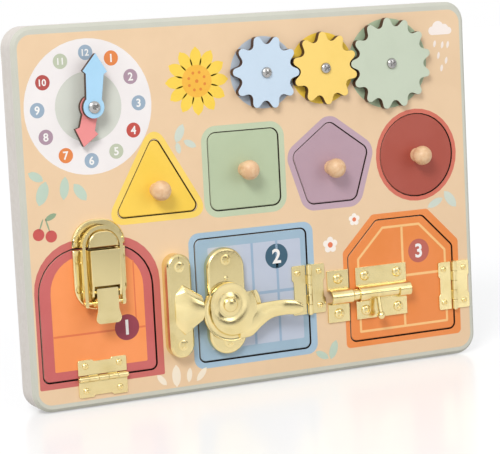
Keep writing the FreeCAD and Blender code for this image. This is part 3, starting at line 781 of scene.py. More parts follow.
def gable(left: float, right: float, low: float, high: float, cut: float, corner: float) -> list[Corner]:
    """A rectangle with its two top corners cut off."""
    return [(left, low, corner), (right, low, corner), (right, high - cut, corner),
            (right - cut, high, corner), (left + cut, high, corner), (left, high - cut, corner)]


# Prints

def print_disc(name: str, body: Body, place: Spot, radius: float, out: float, ink: Finish) -> None:
    """Print one round patch.

    Args:
        name: The piece's name.
        body: The body that carries it.
        place: Its middle, in millimetres.
        radius: Its radius.
        out: Height over the front face.
        ink: Its finish.
    """
    work = Workpiece(name, body)
    work.disc(*place, radius, out)
    work.done(ink)


def print_band(name: str, body: Body, outer: Sequence[Corner], inner: Sequence[Corner], out: float,
               ink: Finish) -> None:
    """Print a band between two outlines.

    Args:
        name: The piece's name.
        body: The body that carries it.
        outer: The outer outline.
        inner: The inner outline.
        out: Height over the front face.
        ink: Its finish.
    """
    work = Workpiece(name, body)
    work.band(outer, inner, out)
    work.done(ink)


def print_flats(name: str, body: Body, outlines: Sequence[Sequence[Corner]], out: float, ink: Finish) -> None:
    """Print flat shapes in one finish, each a step over the one before it.

    Args:
        name: The piece's name.
        body: The body that carries them.
        outlines: Their outlines.
        out: Height of the first over the front face.
        ink: Their finish.
    """
    work = Workpiece(name, body)
    for i, outline in enumerate(outlines):
        work.flat(outline, out + i * PRINT_STEP)
    work.done(ink)


def print_number(name: str, text: str, place: Spot, size: float, out: float, body: Body) -> None:
    """Print a white number centred on a spot.

    Args:
        name: The piece's name.
        text: The digits.
        place: Its middle, in millimetres.
        size: Height of the digits.
        out: Height over the front face.
        body: The body that carries it.
    """
    curve = bpy.data.curves.new(name, "FONT")
    curve.body = text
    curve.size = size * FONT_SHARE * MM
    curve.offset = size * STROKE_SHARE * MM
    curve.resolution_u = 4
    carrier = bpy.data.objects.new(name, curve)
    bpy.context.scene.collection.objects.link(carrier)
    bpy.context.view_layer.update()
    data = bpy.data.meshes.new_from_object(carrier.evaluated_get(bpy.context.evaluated_depsgraph_get()))
    bpy.data.objects.remove(carrier)
    across = [v.co.x for v in data.vertices]
    upward = [v.co.y for v in data.vertices]
    middle = Vector(((min(across) + max(across)) / 2, (min(upward) + max(upward)) / 2, 0))
    data.transform(Matrix.Translation(spot(*place, out)) @ Matrix.Rotation(math.pi / 2, 4, "X")
                   @ Matrix.Translation(-middle))
    data.materials.clear()
    data.materials.append(NUMBER_WHITE.material())
    made = bpy.data.objects.new(name, data)
    bpy.context.scene.collection.objects.link(made)
    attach(made, body.value)


# Sub-assemblies

@dataclass
class BoardPanels:
    """The two glued panels: outer size, and the insets of the printed field."""

    width: float = 300.0
    height: float = 224.0
    inset_left: float = 3.6
    inset_right: float = 3.7
    inset_low: float = 4.4
    inset_high: float = 4.8
    field_corner: float = 8.5
    front_ease: float = 0.35
    back_ease: float = 0.9

    def build(self) -> None:
        """Dress both panels."""
        half = self.width / 2
        low = (self.inset_left - half, self.inset_low)
        high = (half - self.inset_right, self.height - self.inset_high)
        printed = PrintedBoard("printed_front_panel", rgb(240, 208, 170), rgb(208, 208, 194), low, high,
                               self.field_corner)
        dress("front_panel", printed, self.front_ease)
        dress("back_panel", PALE_BACK, self.back_ease)


@dataclass
class Clock:
    """The dial prints, two hands and their pivot."""

    x: float = -105.2
    z: float = 175.9
    dial: float = 39.4
    middle: float = 20.5
    ring: float = 31.3
    mark: float = 4.4
    digit: float = 4.6
    two_digit_share: float = 0.82
    hand_ease: float = 0.25
    pivot_foot: float = -7.0
    pivot_shank: float = 2.4
    pivot_seat: float = 9.1
    pivot_head: float = 3.5
    # The head's outline, in shares of its radius and in heights over its seat
    pivot_dome: tuple[Spot, ...] = ((1.0, 0.0), (1.0, 0.8), (0.8, 1.5), (0.45, 1.8), (0.4, 1.3), (0.0, 1.3))
    tones: tuple[Colour, ...] = (
        rgb(235, 140, 80), rgb(178, 150, 165), rgb(158, 178, 196), rgb(200, 85, 75), rgb(196, 203, 178),
        rgb(160, 180, 198), rgb(235, 140, 80), rgb(178, 150, 165), rgb(158, 178, 196), rgb(185, 85, 80),
        rgb(196, 203, 178), rgb(160, 180, 198))

    def build(self) -> None:
        """Print the dial, dress the hands and seat the pivot."""
        centre = (self.x, self.z)
        print_disc("dial_print", Body.BOARD, centre, self.dial, Layer.GROUND,
                   Print("dial_white", rgb(246, 240, 238)))
        print_disc("dial_middle_print", Body.BOARD, centre, self.middle, Layer.BAND,
                   Print("dial_sage", rgb(217, 219, 208)))
        for hour, tone in enumerate(self.tones, 1):
            self.hour_mark(hour, tone)
        for hand, name, tone in (("minute_hand", "minute_blue", rgb(176, 219, 246)),
                                 ("hour_hand", "hour_coral", rgb(243, 150, 148))):
            dress(hand, PaintedPly(name, tone, SCORCHED, SCORCH_AND_GAP_SHADE), self.hand_ease)
        dress("clock_washers", NYLON)
        self.pivot()

    def hour_mark(self, hour: int, tone: Colour) -> None:
        """Print one round hour mark with its number.

        Args:
            hour: The hour, 1 to 12.
            tone: The colour of its mark.
        """
        angle = math.radians(30 * hour)
        place = (self.x + self.ring * math.sin(angle), self.z + self.ring * math.cos(angle))
        print_disc(f"hour_{hour}_mark", Body.BOARD, place, self.mark, Layer.SHAPE,
                   Print(f"hour_{hour}_tone", tone))
        size = self.digit if hour < 10 else self.digit * self.two_digit_share
        print_number(f"hour_{hour}_number", str(hour), place, size, Layer.NUMBER, Body.BOARD)

    def pivot(self) -> None:
        """Turn the screw that both hands turn on."""
        foot, shank, seat = self.pivot_foot, self.pivot_shank, self.pivot_seat
        dome = [(self.pivot_head * share, seat + rise) for share, rise in self.pivot_dome]
        work = Workpiece("pivot_screw", Body.BOARD)
        work.lathe(self.x, self.z, [(0, foot), (shank, foot), (shank, seat), *dome])
        work.done(STEEL, ["clock_pivot"])


@dataclass
class ScrewSet:
    """Raised screws that share one node, each with a cross recess."""

    node: str
    body: Body
    places: tuple[Spot, ...]
    seat: float
    head: float
    rise: float
    finish: Finish
    shank: float = 1.1
    depth: float = 4.5
    # The head's outline, in shares of its radius and of its rise
    dome: tuple[Spot, ...] = ((1.0, 0.35), (0.86, 0.7), (0.62, 0.92), (0.3, 0.99))
    # The cross recess: its least height as a share of the rise, the reach of its core and arms as shares of
    # the head's radius, and where an arm lies in each quarter, in degrees
    recess_level: float = 0.8
    recess_core: float = 0.3
    recess_reach: float = 0.64
    recess_arm: Spot = (31.0, 59.0)
    # Its depth as a share of the rise, and the most it may be
    recess_share: float = 0.7
    recess_most: float = 0.7

    def build(self) -> None:
        """Turn the screws and sink their cross recesses."""
        work = Workpiece(self.node + "_turned", self.body)
        for place in self.places:
            before = set(work.mesh.faces)
            self.turn(work, place)
            self.sink(work, place, before)
        work.done(self.finish, [self.node], smooth=50)

    def turn(self, work: Workpiece, place: Spot) -> None:
        """Turn one screw.

        Args:
            work: The piece that holds the set.
            place: The screw's axis, in millimetres.
        """
        seat, foot = self.seat, self.seat - self.depth
        dome = [(self.head * share, seat + self.rise * level) for share, level in self.dome]
        work.lathe(*place, [(0, foot), (self.shank, foot), (self.shank, seat), (self.head, seat), *dome,
                            (0, seat + self.rise)], steps=24)

    def sink(self, work: Workpiece, place: Spot, before: set[bmesh.types.BMFace]) -> None:
        """Sink the cross recess of one screw.

        Args:
            work: The piece that holds the set.
            place: The screw's axis, in millimetres.
            before: The faces of the screws made before it.
        """
        work.mesh.faces.ensure_lookup_table()
        centre = spot(*place)
        low_turn, high_turn = self.recess_arm
        recess = []
        for face in work.mesh.faces:
            if face in before:
                continue
            middle = face.calc_center_median() - centre
            across = math.hypot(middle.x, middle.z)
            turn = math.degrees(math.atan2(middle.z, middle.x)) % 90
            on_top = -middle.y > (self.seat + self.rise * self.recess_level) * MM
            in_core = across < self.head * self.recess_core * MM
            in_arm = across < self.head * self.recess_reach * MM and low_turn < turn < high_turn
            if on_top and (in_core or in_arm):
                recess.append(face)
        sunk = bmesh.ops.extrude_face_region(work.mesh, geom=recess)
        depth = min(self.recess_most, self.rise * self.recess_share)
        bmesh.ops.translate(work.mesh, vec=Vector((0, depth * MM, 0)), verts=verts_in(sunk))
        bmesh.ops.delete(work.mesh, geom=[f for f in recess if f.is_valid], context="FACES_ONLY")


@dataclass
class GearTrain:
    """Three meshing gears over their printed circles."""

    z: float = 188.4
    top: float = 5.1
    centres: tuple[float, ...] = (7.7, 47.7, 93.7)
    circles: tuple[float, ...] = (21.7, 21.7, 27.7)
    names: tuple[str, ...] = ("blue", "yellow", "green")
    tones: tuple[Colour, ...] = (rgb(206, 224, 240), rgb(255, 218, 120), rgb(204, 214, 192))
    circle_tones: tuple[Colour, ...] = (rgb(192, 203, 214), rgb(255, 212, 74), rgb(178, 196, 162))
    ease: float = 0.3
    screw_head: float = 3.3
    screw_rise: float = 1.9
    screw_depth: float = 12.0

    def build(self) -> None:
        """Print the circles, dress the gears and turn their screws."""
        for x, radius, name, tone, ground in zip(self.centres, self.circles, self.names, self.tones,
                                                 self.circle_tones):
            print_disc(f"{name}_circle_print", Body.BOARD, (x, self.z), radius, Layer.GROUND,
                       Print(f"{name}_circle_tone", ground))
            dress(f"gear_{name}", PaintedPly(f"gear_{name}_paint", tone, SCORCHED, SCORCH_AND_GAP_SHADE), self.ease)
        dress("gear_bushes", NYLON)
        ScrewSet("gear_screws", Body.BOARD, tuple((x, self.z) for x in self.centres), self.top,
                 self.screw_head, self.screw_rise, STEEL, depth=self.screw_depth).build()


@dataclass
class Puzzle:
    """Four loose shapes with knobs, each in an opening with a printed band."""

    band: float = 3.8
    gap: float = 0.5
    # Width of the dark line round each opening: scorch and painted shade in the gap
    scorch_shade_line: float = 0.15
    ease: float = 0.15
    triangle_side: float = 54.4
    triangle_base: Spot = (-65.6, 109.5)
    triangle_corner: float = 3.5
    square_side: float = 46.4
    square_centre: Spot = (-7.8, 131.2)
    pentagon_radius: float = 27.5
    pentagon_centre: Spot = (50.9, 128.3)
    corner: float = 5.0
    round_radius: float = 25.6
    round_centre: Spot = (111.6, 130.0)
    round_band: float = 2.8
    # The round opening is drawn as a square whose round corners stop this far short of meeting
    round_slack: float = 0.1
    floor_play: float = 0.1
    star: float = 15.0
    star_waist: float = 0.5
    star_corner: float = 0.6
    knobs: tuple[tuple[str, Spot], ...] = (("triangle", (-65.8, 124.0)), ("square", (-7.9, 131.2)),
                                           ("pentagon", (50.6, 127.3)), ("round", (111.6, 130.0)))
    # A knob's outline as (radius, out): tenon, foot and waist, then the middle of its ball
    knob_foot: tuple[Spot, ...] = ((0, -4.4), (2.55, -4.4), (2.55, 0.02), (4.3, 0.02), (4.3, 0.5),
                                   (3.75, 1.4), (3.6, 2.4), (4.0, 3.3))
    knob_ball: float = 6.0
    knob_middle: float = 7.5
    paints: tuple[tuple[str, Colour], ...] = (
        ("triangle", rgb(255, 214, 88)), ("square", rgb(190, 204, 170)),
        ("pentagon", rgb(190, 160, 172)), ("round", rgb(178, 88, 74)))
    band_tones: tuple[tuple[str, Colour], ...] = (
        ("triangle", rgb(255, 219, 108)), ("square", rgb(200, 212, 180)),
        ("pentagon", rgb(198, 170, 182)), ("round", rgb(217, 117, 98)))

    def openings(self) -> dict[str, list[Corner]]:
        """The outline of each opening, by the name of its shape.

        Returns:
            The outlines, each as wide as its shape and the gap round it.
        """
        x, base = self.triangle_base
        side = self.triangle_side
        square_x, square_z = self.square_centre
        half = self.square_side / 2
        shapes = {
            "triangle": regular(3, side / math.sqrt(3), x, base + side / (2 * math.sqrt(3)),
                                self.triangle_corner),
            "square": rectangle(square_x - half, square_x + half, square_z - half, square_z + half,
                                self.corner),
            "pentagon": regular(5, self.pentagon_radius, *self.pentagon_centre, self.corner),
        }
        openings = {name: grown(corners, self.gap) for name, corners in shapes.items()}
        x, z = self.round_centre
        radius = self.round_radius + self.gap
        openings["round"] = rectangle(x - radius, x + radius, z - radius, z + radius,
                                      radius - self.round_slack)
        return openings

    def build(self) -> None:
        """Print the bands and the dark lines round the openings, scorch and painted shade in the gaps, dress
        the shapes and turn the knobs.
        """
        tones = dict(self.band_tones)
        for name, opening in self.openings().items():
            width = self.round_band if name == "round" else self.band
            print_band(f"{name}_band_print", Body.BOARD, grown(opening, width), opening, Layer.BAND,
                       Print(f"{name}_band_tone", tones[name]))
            # A thin dark line round the opening, printed as scorch and painted shade in the gap
            print_band(f"{name}_scorch_shade_line", Body.BOARD, grown(opening, self.scorch_shade_line), opening, Layer.DETAIL,
                       Print("scorch_and_shade_line", SCORCH_AND_GAP_SHADE))
        for name, face in self.paints:
            dress(f"{name}_piece", PaintedPly(f"{name}_paint", face, PALE_PLY, PALE_PLY_DARK), self.ease)
        self.recess_floor()
        for name, place in self.knobs:
            self.knob(name, place)

    def recess_floor(self) -> None:
        """Print the floor of the round recess with a plain star."""
        x, z = self.round_centre
        print_disc("recess_floor_print", Body.BOARD, self.round_centre,
                   self.round_radius + self.gap - self.floor_play, Layer.GROUND - PANEL_DEPTH,
                   Print("recess_floor_tone", rgb(172, 92, 94)))
        shares = (1.0, self.star_waist) * 5
        corners = [(x + (tip_x - x) * share, z + (tip_z - z) * share, self.star_corner)
                   for share, (tip_x, tip_z, _) in zip(shares, regular(10, self.star, x, z, 0.0))]
        work = Workpiece("recess_star_print", Body.BOARD)
        work.flat(corners, Layer.SHAPE - PANEL_DEPTH + PRINT_STEP, segments=3)
        work.done(Print("recess_star_tone", rgb(130, 172, 196)))

    def knob(self, name: str, place: Spot) -> None:
        """Turn one knob: tenon, foot, waist and ball.

        Args:
            name: The shape that carries it.
            place: Its axis, in millimetres.
        """
        ball, middle = self.knob_ball, self.knob_middle
        angles = [math.radians(a) for a in range(-42, 90, 11)]
        arc = [(ball * math.cos(a), middle + ball * math.sin(a)) for a in angles]
        work = Workpiece(f"{name}_knob_turned", Body(name))
        work.lathe(*place, [*self.knob_foot, *arc, (0, middle + ball)], steps=40)
        work.done(BEECH, [f"{name}_knob"], smooth=60)


@dataclass
class DoorPrints:
    """The printed band round each door opening and the prints on each door."""

    gap: float = 0.9
    line: float = 1.5
    ease: float = 0.2
    digit_share: float = 1.12
    # Left, right, low and high of each outline, then its lower and upper corner radius, and a badge's place
    # and radius
    first_door: tuple[float, ...] = (-142.4, -71.9, 17.9, 94.0, 3.5, 26.0)
    first_band: tuple[float, ...] = (-145.4, -66.8, 13.6, 99.4, 1.0, 29.0)
    first_window: tuple[float, ...] = (-135.5, -77.5, 23.2, 90.0, 0.8, 21.0)
    first_badge: Point = (-89.3, 44.7, 7.7)
    first_lines: tuple[tuple[float, ...], ...] = ((-135.4, -77.6, 43.3, 44.5), (-83.6, -82.8, 44.5, 84.0))
    second_door: tuple[float, ...] = (-43.0, 31.0, 17.7, 91.4, 3.5)
    second_band: tuple[float, ...] = (-47.2, 36.2, 13.4, 95.6, 6.5)
    second_window: tuple[float, ...] = (-35.0, 27.2, 24.0, 86.0, 0.8)
    second_badge: Point = (10.8, 76.5, 7.6)
    second_bars: tuple[tuple[float, ...], ...] = ((-35.0, 27.2, 54.2, 56.0), (-6.4, -4.8, 24.0, 86.0),
                                                  (10.2, 11.8, 24.0, 86.0))
    # The same, with the cut of the two upper corners before the corner radius
    third_door: tuple[float, ...] = (60.2, 134.5, 17.6, 91.2, 20.6, 3.5)
    third_band: tuple[float, ...] = (56.4, 139.4, 13.4, 95.4, 21.6, 3.0)
    third_window: tuple[float, ...] = (66.2, 130.2, 22.0, 87.2, 18.6, 1.0)
    third_badge: Point = (110.5, 69.5, 7.5)
    third_bars: tuple[tuple[float, ...], ...] = ((98.0, 99.6, 23.5, 85.8), (67.7, 128.8, 54.0, 55.6))

    def badge(self, number: int, body: Body, badge: Point, tone: Colour) -> None:
        """Print a door's round badge with its number.

        Args:
            number: The door's number.
            body: The door's body.
            badge: The badge's middle and radius, in millimetres.
            tone: Its colour.
        """
        *place, radius = badge
        print_disc(f"door_{number}_badge", body, place, radius, Layer.DETAIL + PRINT_STEP,
                   Print(f"door_{number}_badge_tone", tone))
        print_number(f"door_{number}_number", str(number), place, radius * self.digit_share,
                     Layer.NUMBER + PRINT_STEP, body)

    def paint(self, number: int, outer: Sequence[Corner], door: Sequence[Corner], band: Colour,
              face: Colour) -> None:
        """Print the band round a door's opening and paint the door.

        Args:
            number: The door's number.
            outer: The band's outer outline.
            door: The door's outline.
            band: The band's colour.
            face: The door's colour.
        """
        print_band(f"door_{number}_surround_print", Body.BOARD, outer, grown(door, self.gap), Layer.BAND,
                   Print(f"door_{number}_surround_tone", band))
        dress(f"door_{number}_panel", PaintedPly(f"door_{number}_frame", face, PALE_PLY, PALE_PLY_DARK),
              self.ease)

    def first(self) -> None:
        """The arched door that drops forward."""
        self.paint(1, rectangle(*self.first_band), rectangle(*self.first_door), rgb(208, 112, 106),
                   rgb(208, 108, 106))
        print_flats("door_1_field", Body.DOOR_1, [rectangle(*self.first_window)], Layer.BAND,
                    Print("door_1_orange", rgb(255, 158, 96)))
        print_flats("door_1_lines", Body.DOOR_1, [rectangle(*line) for line in self.first_lines], Layer.SHAPE,
                    Print("door_1_line_tone", rgb(236, 128, 84)))
        self.badge(1, Body.DOOR_1, self.first_badge, rgb(152, 68, 82))

    def second(self) -> None:
        """The square door with window panes."""
        self.paint(2, rectangle(*self.second_band), rectangle(*self.second_door), rgb(170, 197, 216),
                   rgb(164, 190, 208))
        print_flats("door_2_panes", Body.DOOR_2, [rectangle(*self.second_window)], Layer.BAND,
                    Print("door_2_pane_tone", rgb(196, 204, 220)))
        print_flats("door_2_bars", Body.DOOR_2, [rectangle(*bar) for bar in self.second_bars], Layer.SHAPE,
                    Print("door_2_bar_tone", rgb(160, 184, 208)))
        self.badge(2, Body.DOOR_2, self.second_badge, rgb(62, 96, 116))

    def third(self) -> None:
        """The door with two cut corners and window bars."""
        cream = Print("door_3_line_tone", rgb(255, 204, 138))
        window = gable(*self.third_window)
        self.paint(3, gable(*self.third_band), gable(*self.third_door), rgb(244, 148, 82), rgb(243, 146, 80))
        print_band("door_3_frame_line", Body.DOOR_3, window, grown(window, -self.line), Layer.BAND, cream)
        print_flats("door_3_bars", Body.DOOR_3, [rectangle(*bar) for bar in self.third_bars], Layer.BAND,
                    cream)
        self.badge(3, Body.DOOR_3, self.third_badge, rgb(196, 106, 92))

    def build(self) -> None:
        """Print all three doors."""
        self.first()
        self.second()
        self.third()


@dataclass(frozen=True)
class Spray:
    """Leaves printed in one tone, each (x, z, length, width, clockwise turn from upright in degrees)."""

    name: str
    tone: Colour
    blades: tuple[tuple[float, ...], ...]


@dataclass
class Ornaments:
    """Small printed motifs on the field: leaves, flowers, a cloud, a sun bloom and cherries."""

    # The outer points of a leaf's oval, as a share of its half length, and how far they are drawn out
    blade_end: float = 0.985
    blade_draw: float = 1.1
    sprays: tuple[Spray, ...] = (
        Spray("left_spray", MINT, ((-140.0, 138.0, 9.0, 5.0, -60.0), (-136.6, 128.0, 13.0, 7.0, 20.0),
                                   (-123.0, 130.0, 12.0, 5.5, 8.0), (-113.5, 127.0, 11.0, 6.0, -35.0))),
        Spray("middle_spray", SAGE, ((-49.0, 156.0, 10.5, 5.4, 25.0), (-42.6, 149.4, 8.0, 4.0, -62.0),
                                     (-50.3, 147.4, 6.4, 3.4, -12.0))),
        Spray("low_spray", MINT, ((39.0, 11.6, 9.0, 4.2, -60.0), (47.0, 14.0, 11.0, 5.4, 20.0))),
        Spray("right_spray", SAGE, ((124.0, 98.6, 11.0, 4.6, 66.0), (135.0, 100.0, 12.0, 6.0, -38.0))),
        Spray("cream_petals", CREAM, ((-69.0, 10.2, 8.0, 3.6, -40.0), (-59.5, 11.5, 12.0, 5.6, 0.0),
                                      (-51.0, 11.0, 8.0, 3.4, 8.0), (-43.0, 10.4, 9.0, 3.8, 42.0))))
    flowers: tuple[tuple[str, Spot, float], ...] = (("low_flower", (48.0, 79.5), 4.8),
                                                    ("high_flower", (65.5, 93.6), 3.7))
    # A small flower's petals and middle, in shares of its radius
    petal_count: int = 5
    petal_reach: float = 0.62
    petal: float = 0.44
    flower_middle: float = 0.36
    puffs: tuple[Point, ...] = ((126.6, 206.6, 2.7), (130.8, 208.4, 4.1), (135.2, 207.2, 3.3),
                                (138.4, 206.2, 2.2))
    cloud_base: float = 203.9
    cloud_waist: float = 206.4
    cloud_rise: float = 0.006
    drops: tuple[Spot, ...] = ((128.0, 198.4), (133.5, 197.4), (137.5, 197.4), (130.5, 191.0), (136.0, 187.6),
                               (132.5, 183.0))
    # Length, width and clockwise turn of a drop
    drop: Point = (4.2, 1.9, 12.0)
    bloom_centre: Spot = (-36.0, 186.0)
    ray_count: int = 12
    ray_reach: float = 13.4
    ray_length: float = 12.5
    ray_width: float = 7.4
    bloom_disc: float = 9.6
    seed_count: int = 8
    seed_turn: float = 20.0
    seed_reach: float = 5.4
    seed: float = 0.9
    middle_seed: float = 1.1
    cherries: tuple[Spot, ...] = ((-140.4, 104.6), (-132.8, 103.0))
    cherry: float = 3.5
    stalks: Spray = Spray("cherry_stalk_print", rgb(150, 172, 140), (
        (-138.4, 110.4, 6.4, 0.9, 22.0), (-134.6, 109.6, 8.0, 0.9, -16.0), (-132.4, 114.2, 7.0, 3.2, 66.0)))

    def blade(self, work: Workpiece, x: float, z: float, length: float, width: float, turn: float) -> None:
        """A leaf: an oval with its two ends drawn out.

        Args:
            work: The piece that gets it.
            x: Its middle across, in millimetres.
            z: Its middle height.
            length: Length of the oval.
            width: Width of the oval.
            turn: Clockwise turn from upright, in degrees.
        """
        known = set(work.mesh.verts)
        work.disc(x, z, length / 2, Layer.SHAPE, width / length, turn)
        middle = spot(x, z, Layer.SHAPE)
        for vert in work.mesh.verts:
            reach = (vert.co - middle).length / (length * MM / 2)
            if vert not in known and reach > self.blade_end:
                vert.co = middle + (vert.co - middle) * self.blade_draw

    def spray(self, spray: Spray, tone_name: str) -> None:
        """Print one spray of leaves.

        Args:
            spray: The spray.
            tone_name: The name of its finish.
        """
        work = Workpiece(spray.name, Body.BOARD)
        for blade in spray.blades:
            self.blade(work, *blade)
        work.done(Print(tone_name, spray.tone))

    def flower(self, name: str, place: Spot, radius: float) -> None:
        """A five-petalled flower with a coral middle.

        Args:
            name: Its name.
            place: Its middle, in millimetres.
            radius: Its radius.
        """
        x, z = place
        petals = Workpiece(name, Body.BOARD)
        reach = radius * self.petal_reach
        for i in range(self.petal_count):
            turn = 2 * math.pi * i / self.petal_count
            petals.disc(x + reach * math.sin(turn), z + reach * math.cos(turn), radius * self.petal,
                        Layer.SHAPE + PETAL_STEP * i)
        petals.done(Print("flower_white", rgb(255, 246, 236)))
        print_disc(name + "_middle", Body.BOARD, place, radius * self.flower_middle, Layer.NUMBER,
                   Print("flower_coral", rgb(236, 130, 92)))

    def cloud(self) -> None:
        """A white cloud over falling drops."""
        work = Workpiece("cloud_print", Body.BOARD)
        for i, (x, z, radius) in enumerate(self.puffs):
            work.disc(x, z, radius, Layer.SHAPE + PETAL_STEP * i)
        work.flat(rectangle(self.puffs[0][0], self.puffs[-1][0], self.cloud_base, self.cloud_waist),
                  Layer.SHAPE + self.cloud_rise)
        work.done(Print("cloud_white", rgb(252, 240, 232)))
        drops = Workpiece("rain_print", Body.BOARD)
        for x, z in self.drops:
            self.blade(drops, x, z, *self.drop)
        drops.done(Print("rain_white", rgb(250, 236, 226)))

    def bloom(self) -> None:
        """A big yellow bloom between the clock and the gears."""
        x, z = self.bloom_centre
        rays = Workpiece("bloom_petals", Body.BOARD)
        for i in range(self.ray_count):
            turn = 360.0 / self.ray_count * i
            lean = math.radians(turn)
            self.blade(rays, x + self.ray_reach * math.sin(lean), z + self.ray_reach * math.cos(lean),
                       self.ray_length, self.ray_width, turn)
        rays.done(Print("bloom_yellow", rgb(255, 216, 86)))
        print_disc("bloom_disc", Body.BOARD, (x, z), self.bloom_disc, Layer.DETAIL,
                   Print("bloom_honey", rgb(250, 190, 72)))
        seeds = Workpiece("bloom_seeds", Body.BOARD)
        for i in range(self.seed_count):
            turn = math.radians(360 / self.seed_count * i + self.seed_turn)
            seeds.disc(x + self.seed_reach * math.sin(turn), z + self.seed_reach * math.cos(turn), self.seed,
                       Layer.NUMBER)
        seeds.disc(x, z, self.middle_seed, Layer.NUMBER)
        seeds.done(Print("bloom_seed_tone", rgb(232, 140, 60)))

    def cherry_pair(self) -> None:
        """Two cherries, their stalks and a leaf, above the arched door."""
        fruit = Workpiece("cherry_print", Body.BOARD)
        for x, z in self.cherries:
            fruit.disc(x, z, self.cherry, Layer.SHAPE)
        fruit.done(Print("cherry_red", rgb(205, 92, 88)))
        self.spray(self.stalks, "stalk_green")

    def build(self) -> None:
        """Print every motif."""
        for spray in self.sprays:
            self.spray(spray, spray.name + "_tone")
        for name, place, radius in self.flowers:
            self.flower(name, place, radius)
        self.cloud()
        self.bloom()
        self.cherry_pair()


@dataclass
class Hinge:
    """A small butt hinge: two lobed leaves, five knuckles, a pin and four screws."""

    number: int
    x: float
    z: float
    turn: float
    door: Body
    length: float = 30.5
    leaf: float = 11.2
    lobe: float = 9.0
    waist: float = 1.1
    leaf_corner: float = 1.1
    waist_corner: float = 0.7
    inner_corner: float = 0.3
    thick: float = 1.0
    ease: float = 0.18
    knuckle: float = 1.7
    knuckle_count: int = 5
    # Play between leaf and knuckle, at each knuckle's ends, and under the barrel
    leaf_play: float = 0.3
    end_play: float = 0.08
    under_play: float = 0.05
    # Reach of a knuckle's root over the edge of the leaf
    root: float = 0.5
    pin_radius: float = 0.8
    # The pin's caps: their radii, and how far the pin, their rims and their tips reach past the leaves
    cap_radius: float = 1.2
    cap_tip_radius: float = 0.7
    pin_past: float = 0.1
    cap_rim: float = 0.4
    cap_tip: float = 0.7
    along: float = 10.6
    across: float = 7.4
    screw_head: float = 1.9
    screw_rise: float = 0.9

    @property
    def axis_out(self) -> float:
        """Height of the pin's axis over the front face."""
        return self.knuckle + self.under_play

    def placing(self, flipped: bool) -> Matrix:
        """Where a leaf made upright at the origin goes."""
        turn = math.radians(self.turn + (180 if flipped else 0))
        return Matrix.Translation(Vector((self.x * MM, 0, self.z * MM))) @ Matrix.Rotation(turn, 4, "Y")

    def outline(self) -> list[Corner]:
        """The outline of a leaf made upright at the origin: two lobes and a waist between them.

        Returns:
            The outline.
        """
        half, outer, waist = self.length / 2, self.leaf, self.leaf - self.waist
        inner = self.knuckle + self.leaf_play
        step = half - self.lobe
        return [(inner, -half, self.inner_corner), (outer, -half, self.leaf_corner),
                (outer, -step, self.waist_corner), (waist, -step + self.waist, self.waist_corner),
                (waist, step - self.waist, self.waist_corner), (outer, step, self.waist_corner),
                (outer, half, self.leaf_corner), (inner, half, self.inner_corner)]

    def half(self, name: str, body: Body, own: Sequence[int], flipped: bool) -> None:
        """One leaf with the knuckles that it carries.

        Args:
            name: The piece's name.
            body: The body that it is screwed to.
            own: Which knuckles it carries.
            flipped: Whether it lies on the door's side.
        """
        work = Workpiece(name, body)
        work.plate(self.outline(), 0.0, self.thick, segments=4)
        step = self.length / self.knuckle_count
        root = self.knuckle + self.leaf_play + self.root
        for i in own:
            low = -self.length / 2 + i * step + self.end_play
            high = low + step - 2 * self.end_play
            work.bar(spot(0, low, self.axis_out), spot(0, high, self.axis_out), self.knuckle)
            work.block(spot(0, low, self.thick), spot(root, high, self.under_play))
        work.move(self.placing(flipped))
        side = "door_leaf" if flipped else "board_leaf"
        work.done(GOLD, [f"hinge_{self.number}_{side}"], bevel=self.ease)

    def pin(self) -> None:
        """The pin with its two domed ends."""
        reach = self.length / 2
        rim, tip = reach + self.cap_rim, reach + self.cap_tip
        work = Workpiece(f"hinge_{self.number}_pin_turned", Body.BOARD)

        def span(start: float, end: float, radius: float, end_radius: float | None = None) -> None:
            """One length of the pin between two places along it."""
            work.bar(spot(0, start, self.axis_out), spot(0, end, self.axis_out), radius, end_radius)

        span(-reach - self.pin_past, reach + self.pin_past, self.pin_radius)
        for side in (-1, 1):
            span(side * reach, side * rim, self.cap_radius)
            span(side * rim, side * tip, self.cap_radius, self.cap_tip_radius)
        work.move(self.placing(False))
        work.done(GOLD, [f"hinge_{self.number}_pin"])

    def screw_places(self, flipped: bool) -> tuple[Spot, ...]:
        """Where one leaf's screws stand.

        Args:
            flipped: Whether the leaf lies on the door's side.

        Returns:
            Their axes, in millimetres.
        """
        places = [self.placing(flipped) @ spot(self.across, side * self.along) for side in (-1, 1)]
        return tuple((place.x / MM, place.z / MM) for place in places)

    def build(self) -> None:
        """Both leaves, the pin and the screws."""
        self.half(f"hinge_{self.number}_board_half", Body.BOARD, (0, 2, 4), False)
        self.half(f"hinge_{self.number}_door_half", self.door, (1, 3), True)
        self.pin()
        for part, body, flipped in (("board", Body.BOARD, False), ("door", self.door, True)):
            ScrewSet(f"hinge_{self.number}_{part}_screws", body, self.screw_places(flipped), self.thick,
                     self.screw_head, self.screw_rise, GOLD).build()


@dataclass
class ToggleLatch:
    """The toggle latch on the arched door: how far the edges of each part are eased."""

    eases: tuple[tuple[str, float], ...] = (
        ("toggle_keeper", 0.35), ("toggle_base", 0.3), ("toggle_lever", 0.3), ("toggle_bail", 0.4),
        ("toggle_lever_pin", 0.2), ("toggle_bail_pin", 0.2), ("toggle_keeper_screws", 0.15),
        ("toggle_base_screws", 0.15))

    def build(self) -> None:
        """Plate every part."""
        for node, ease in self.eases:
            dress(node, GOLD, ease)


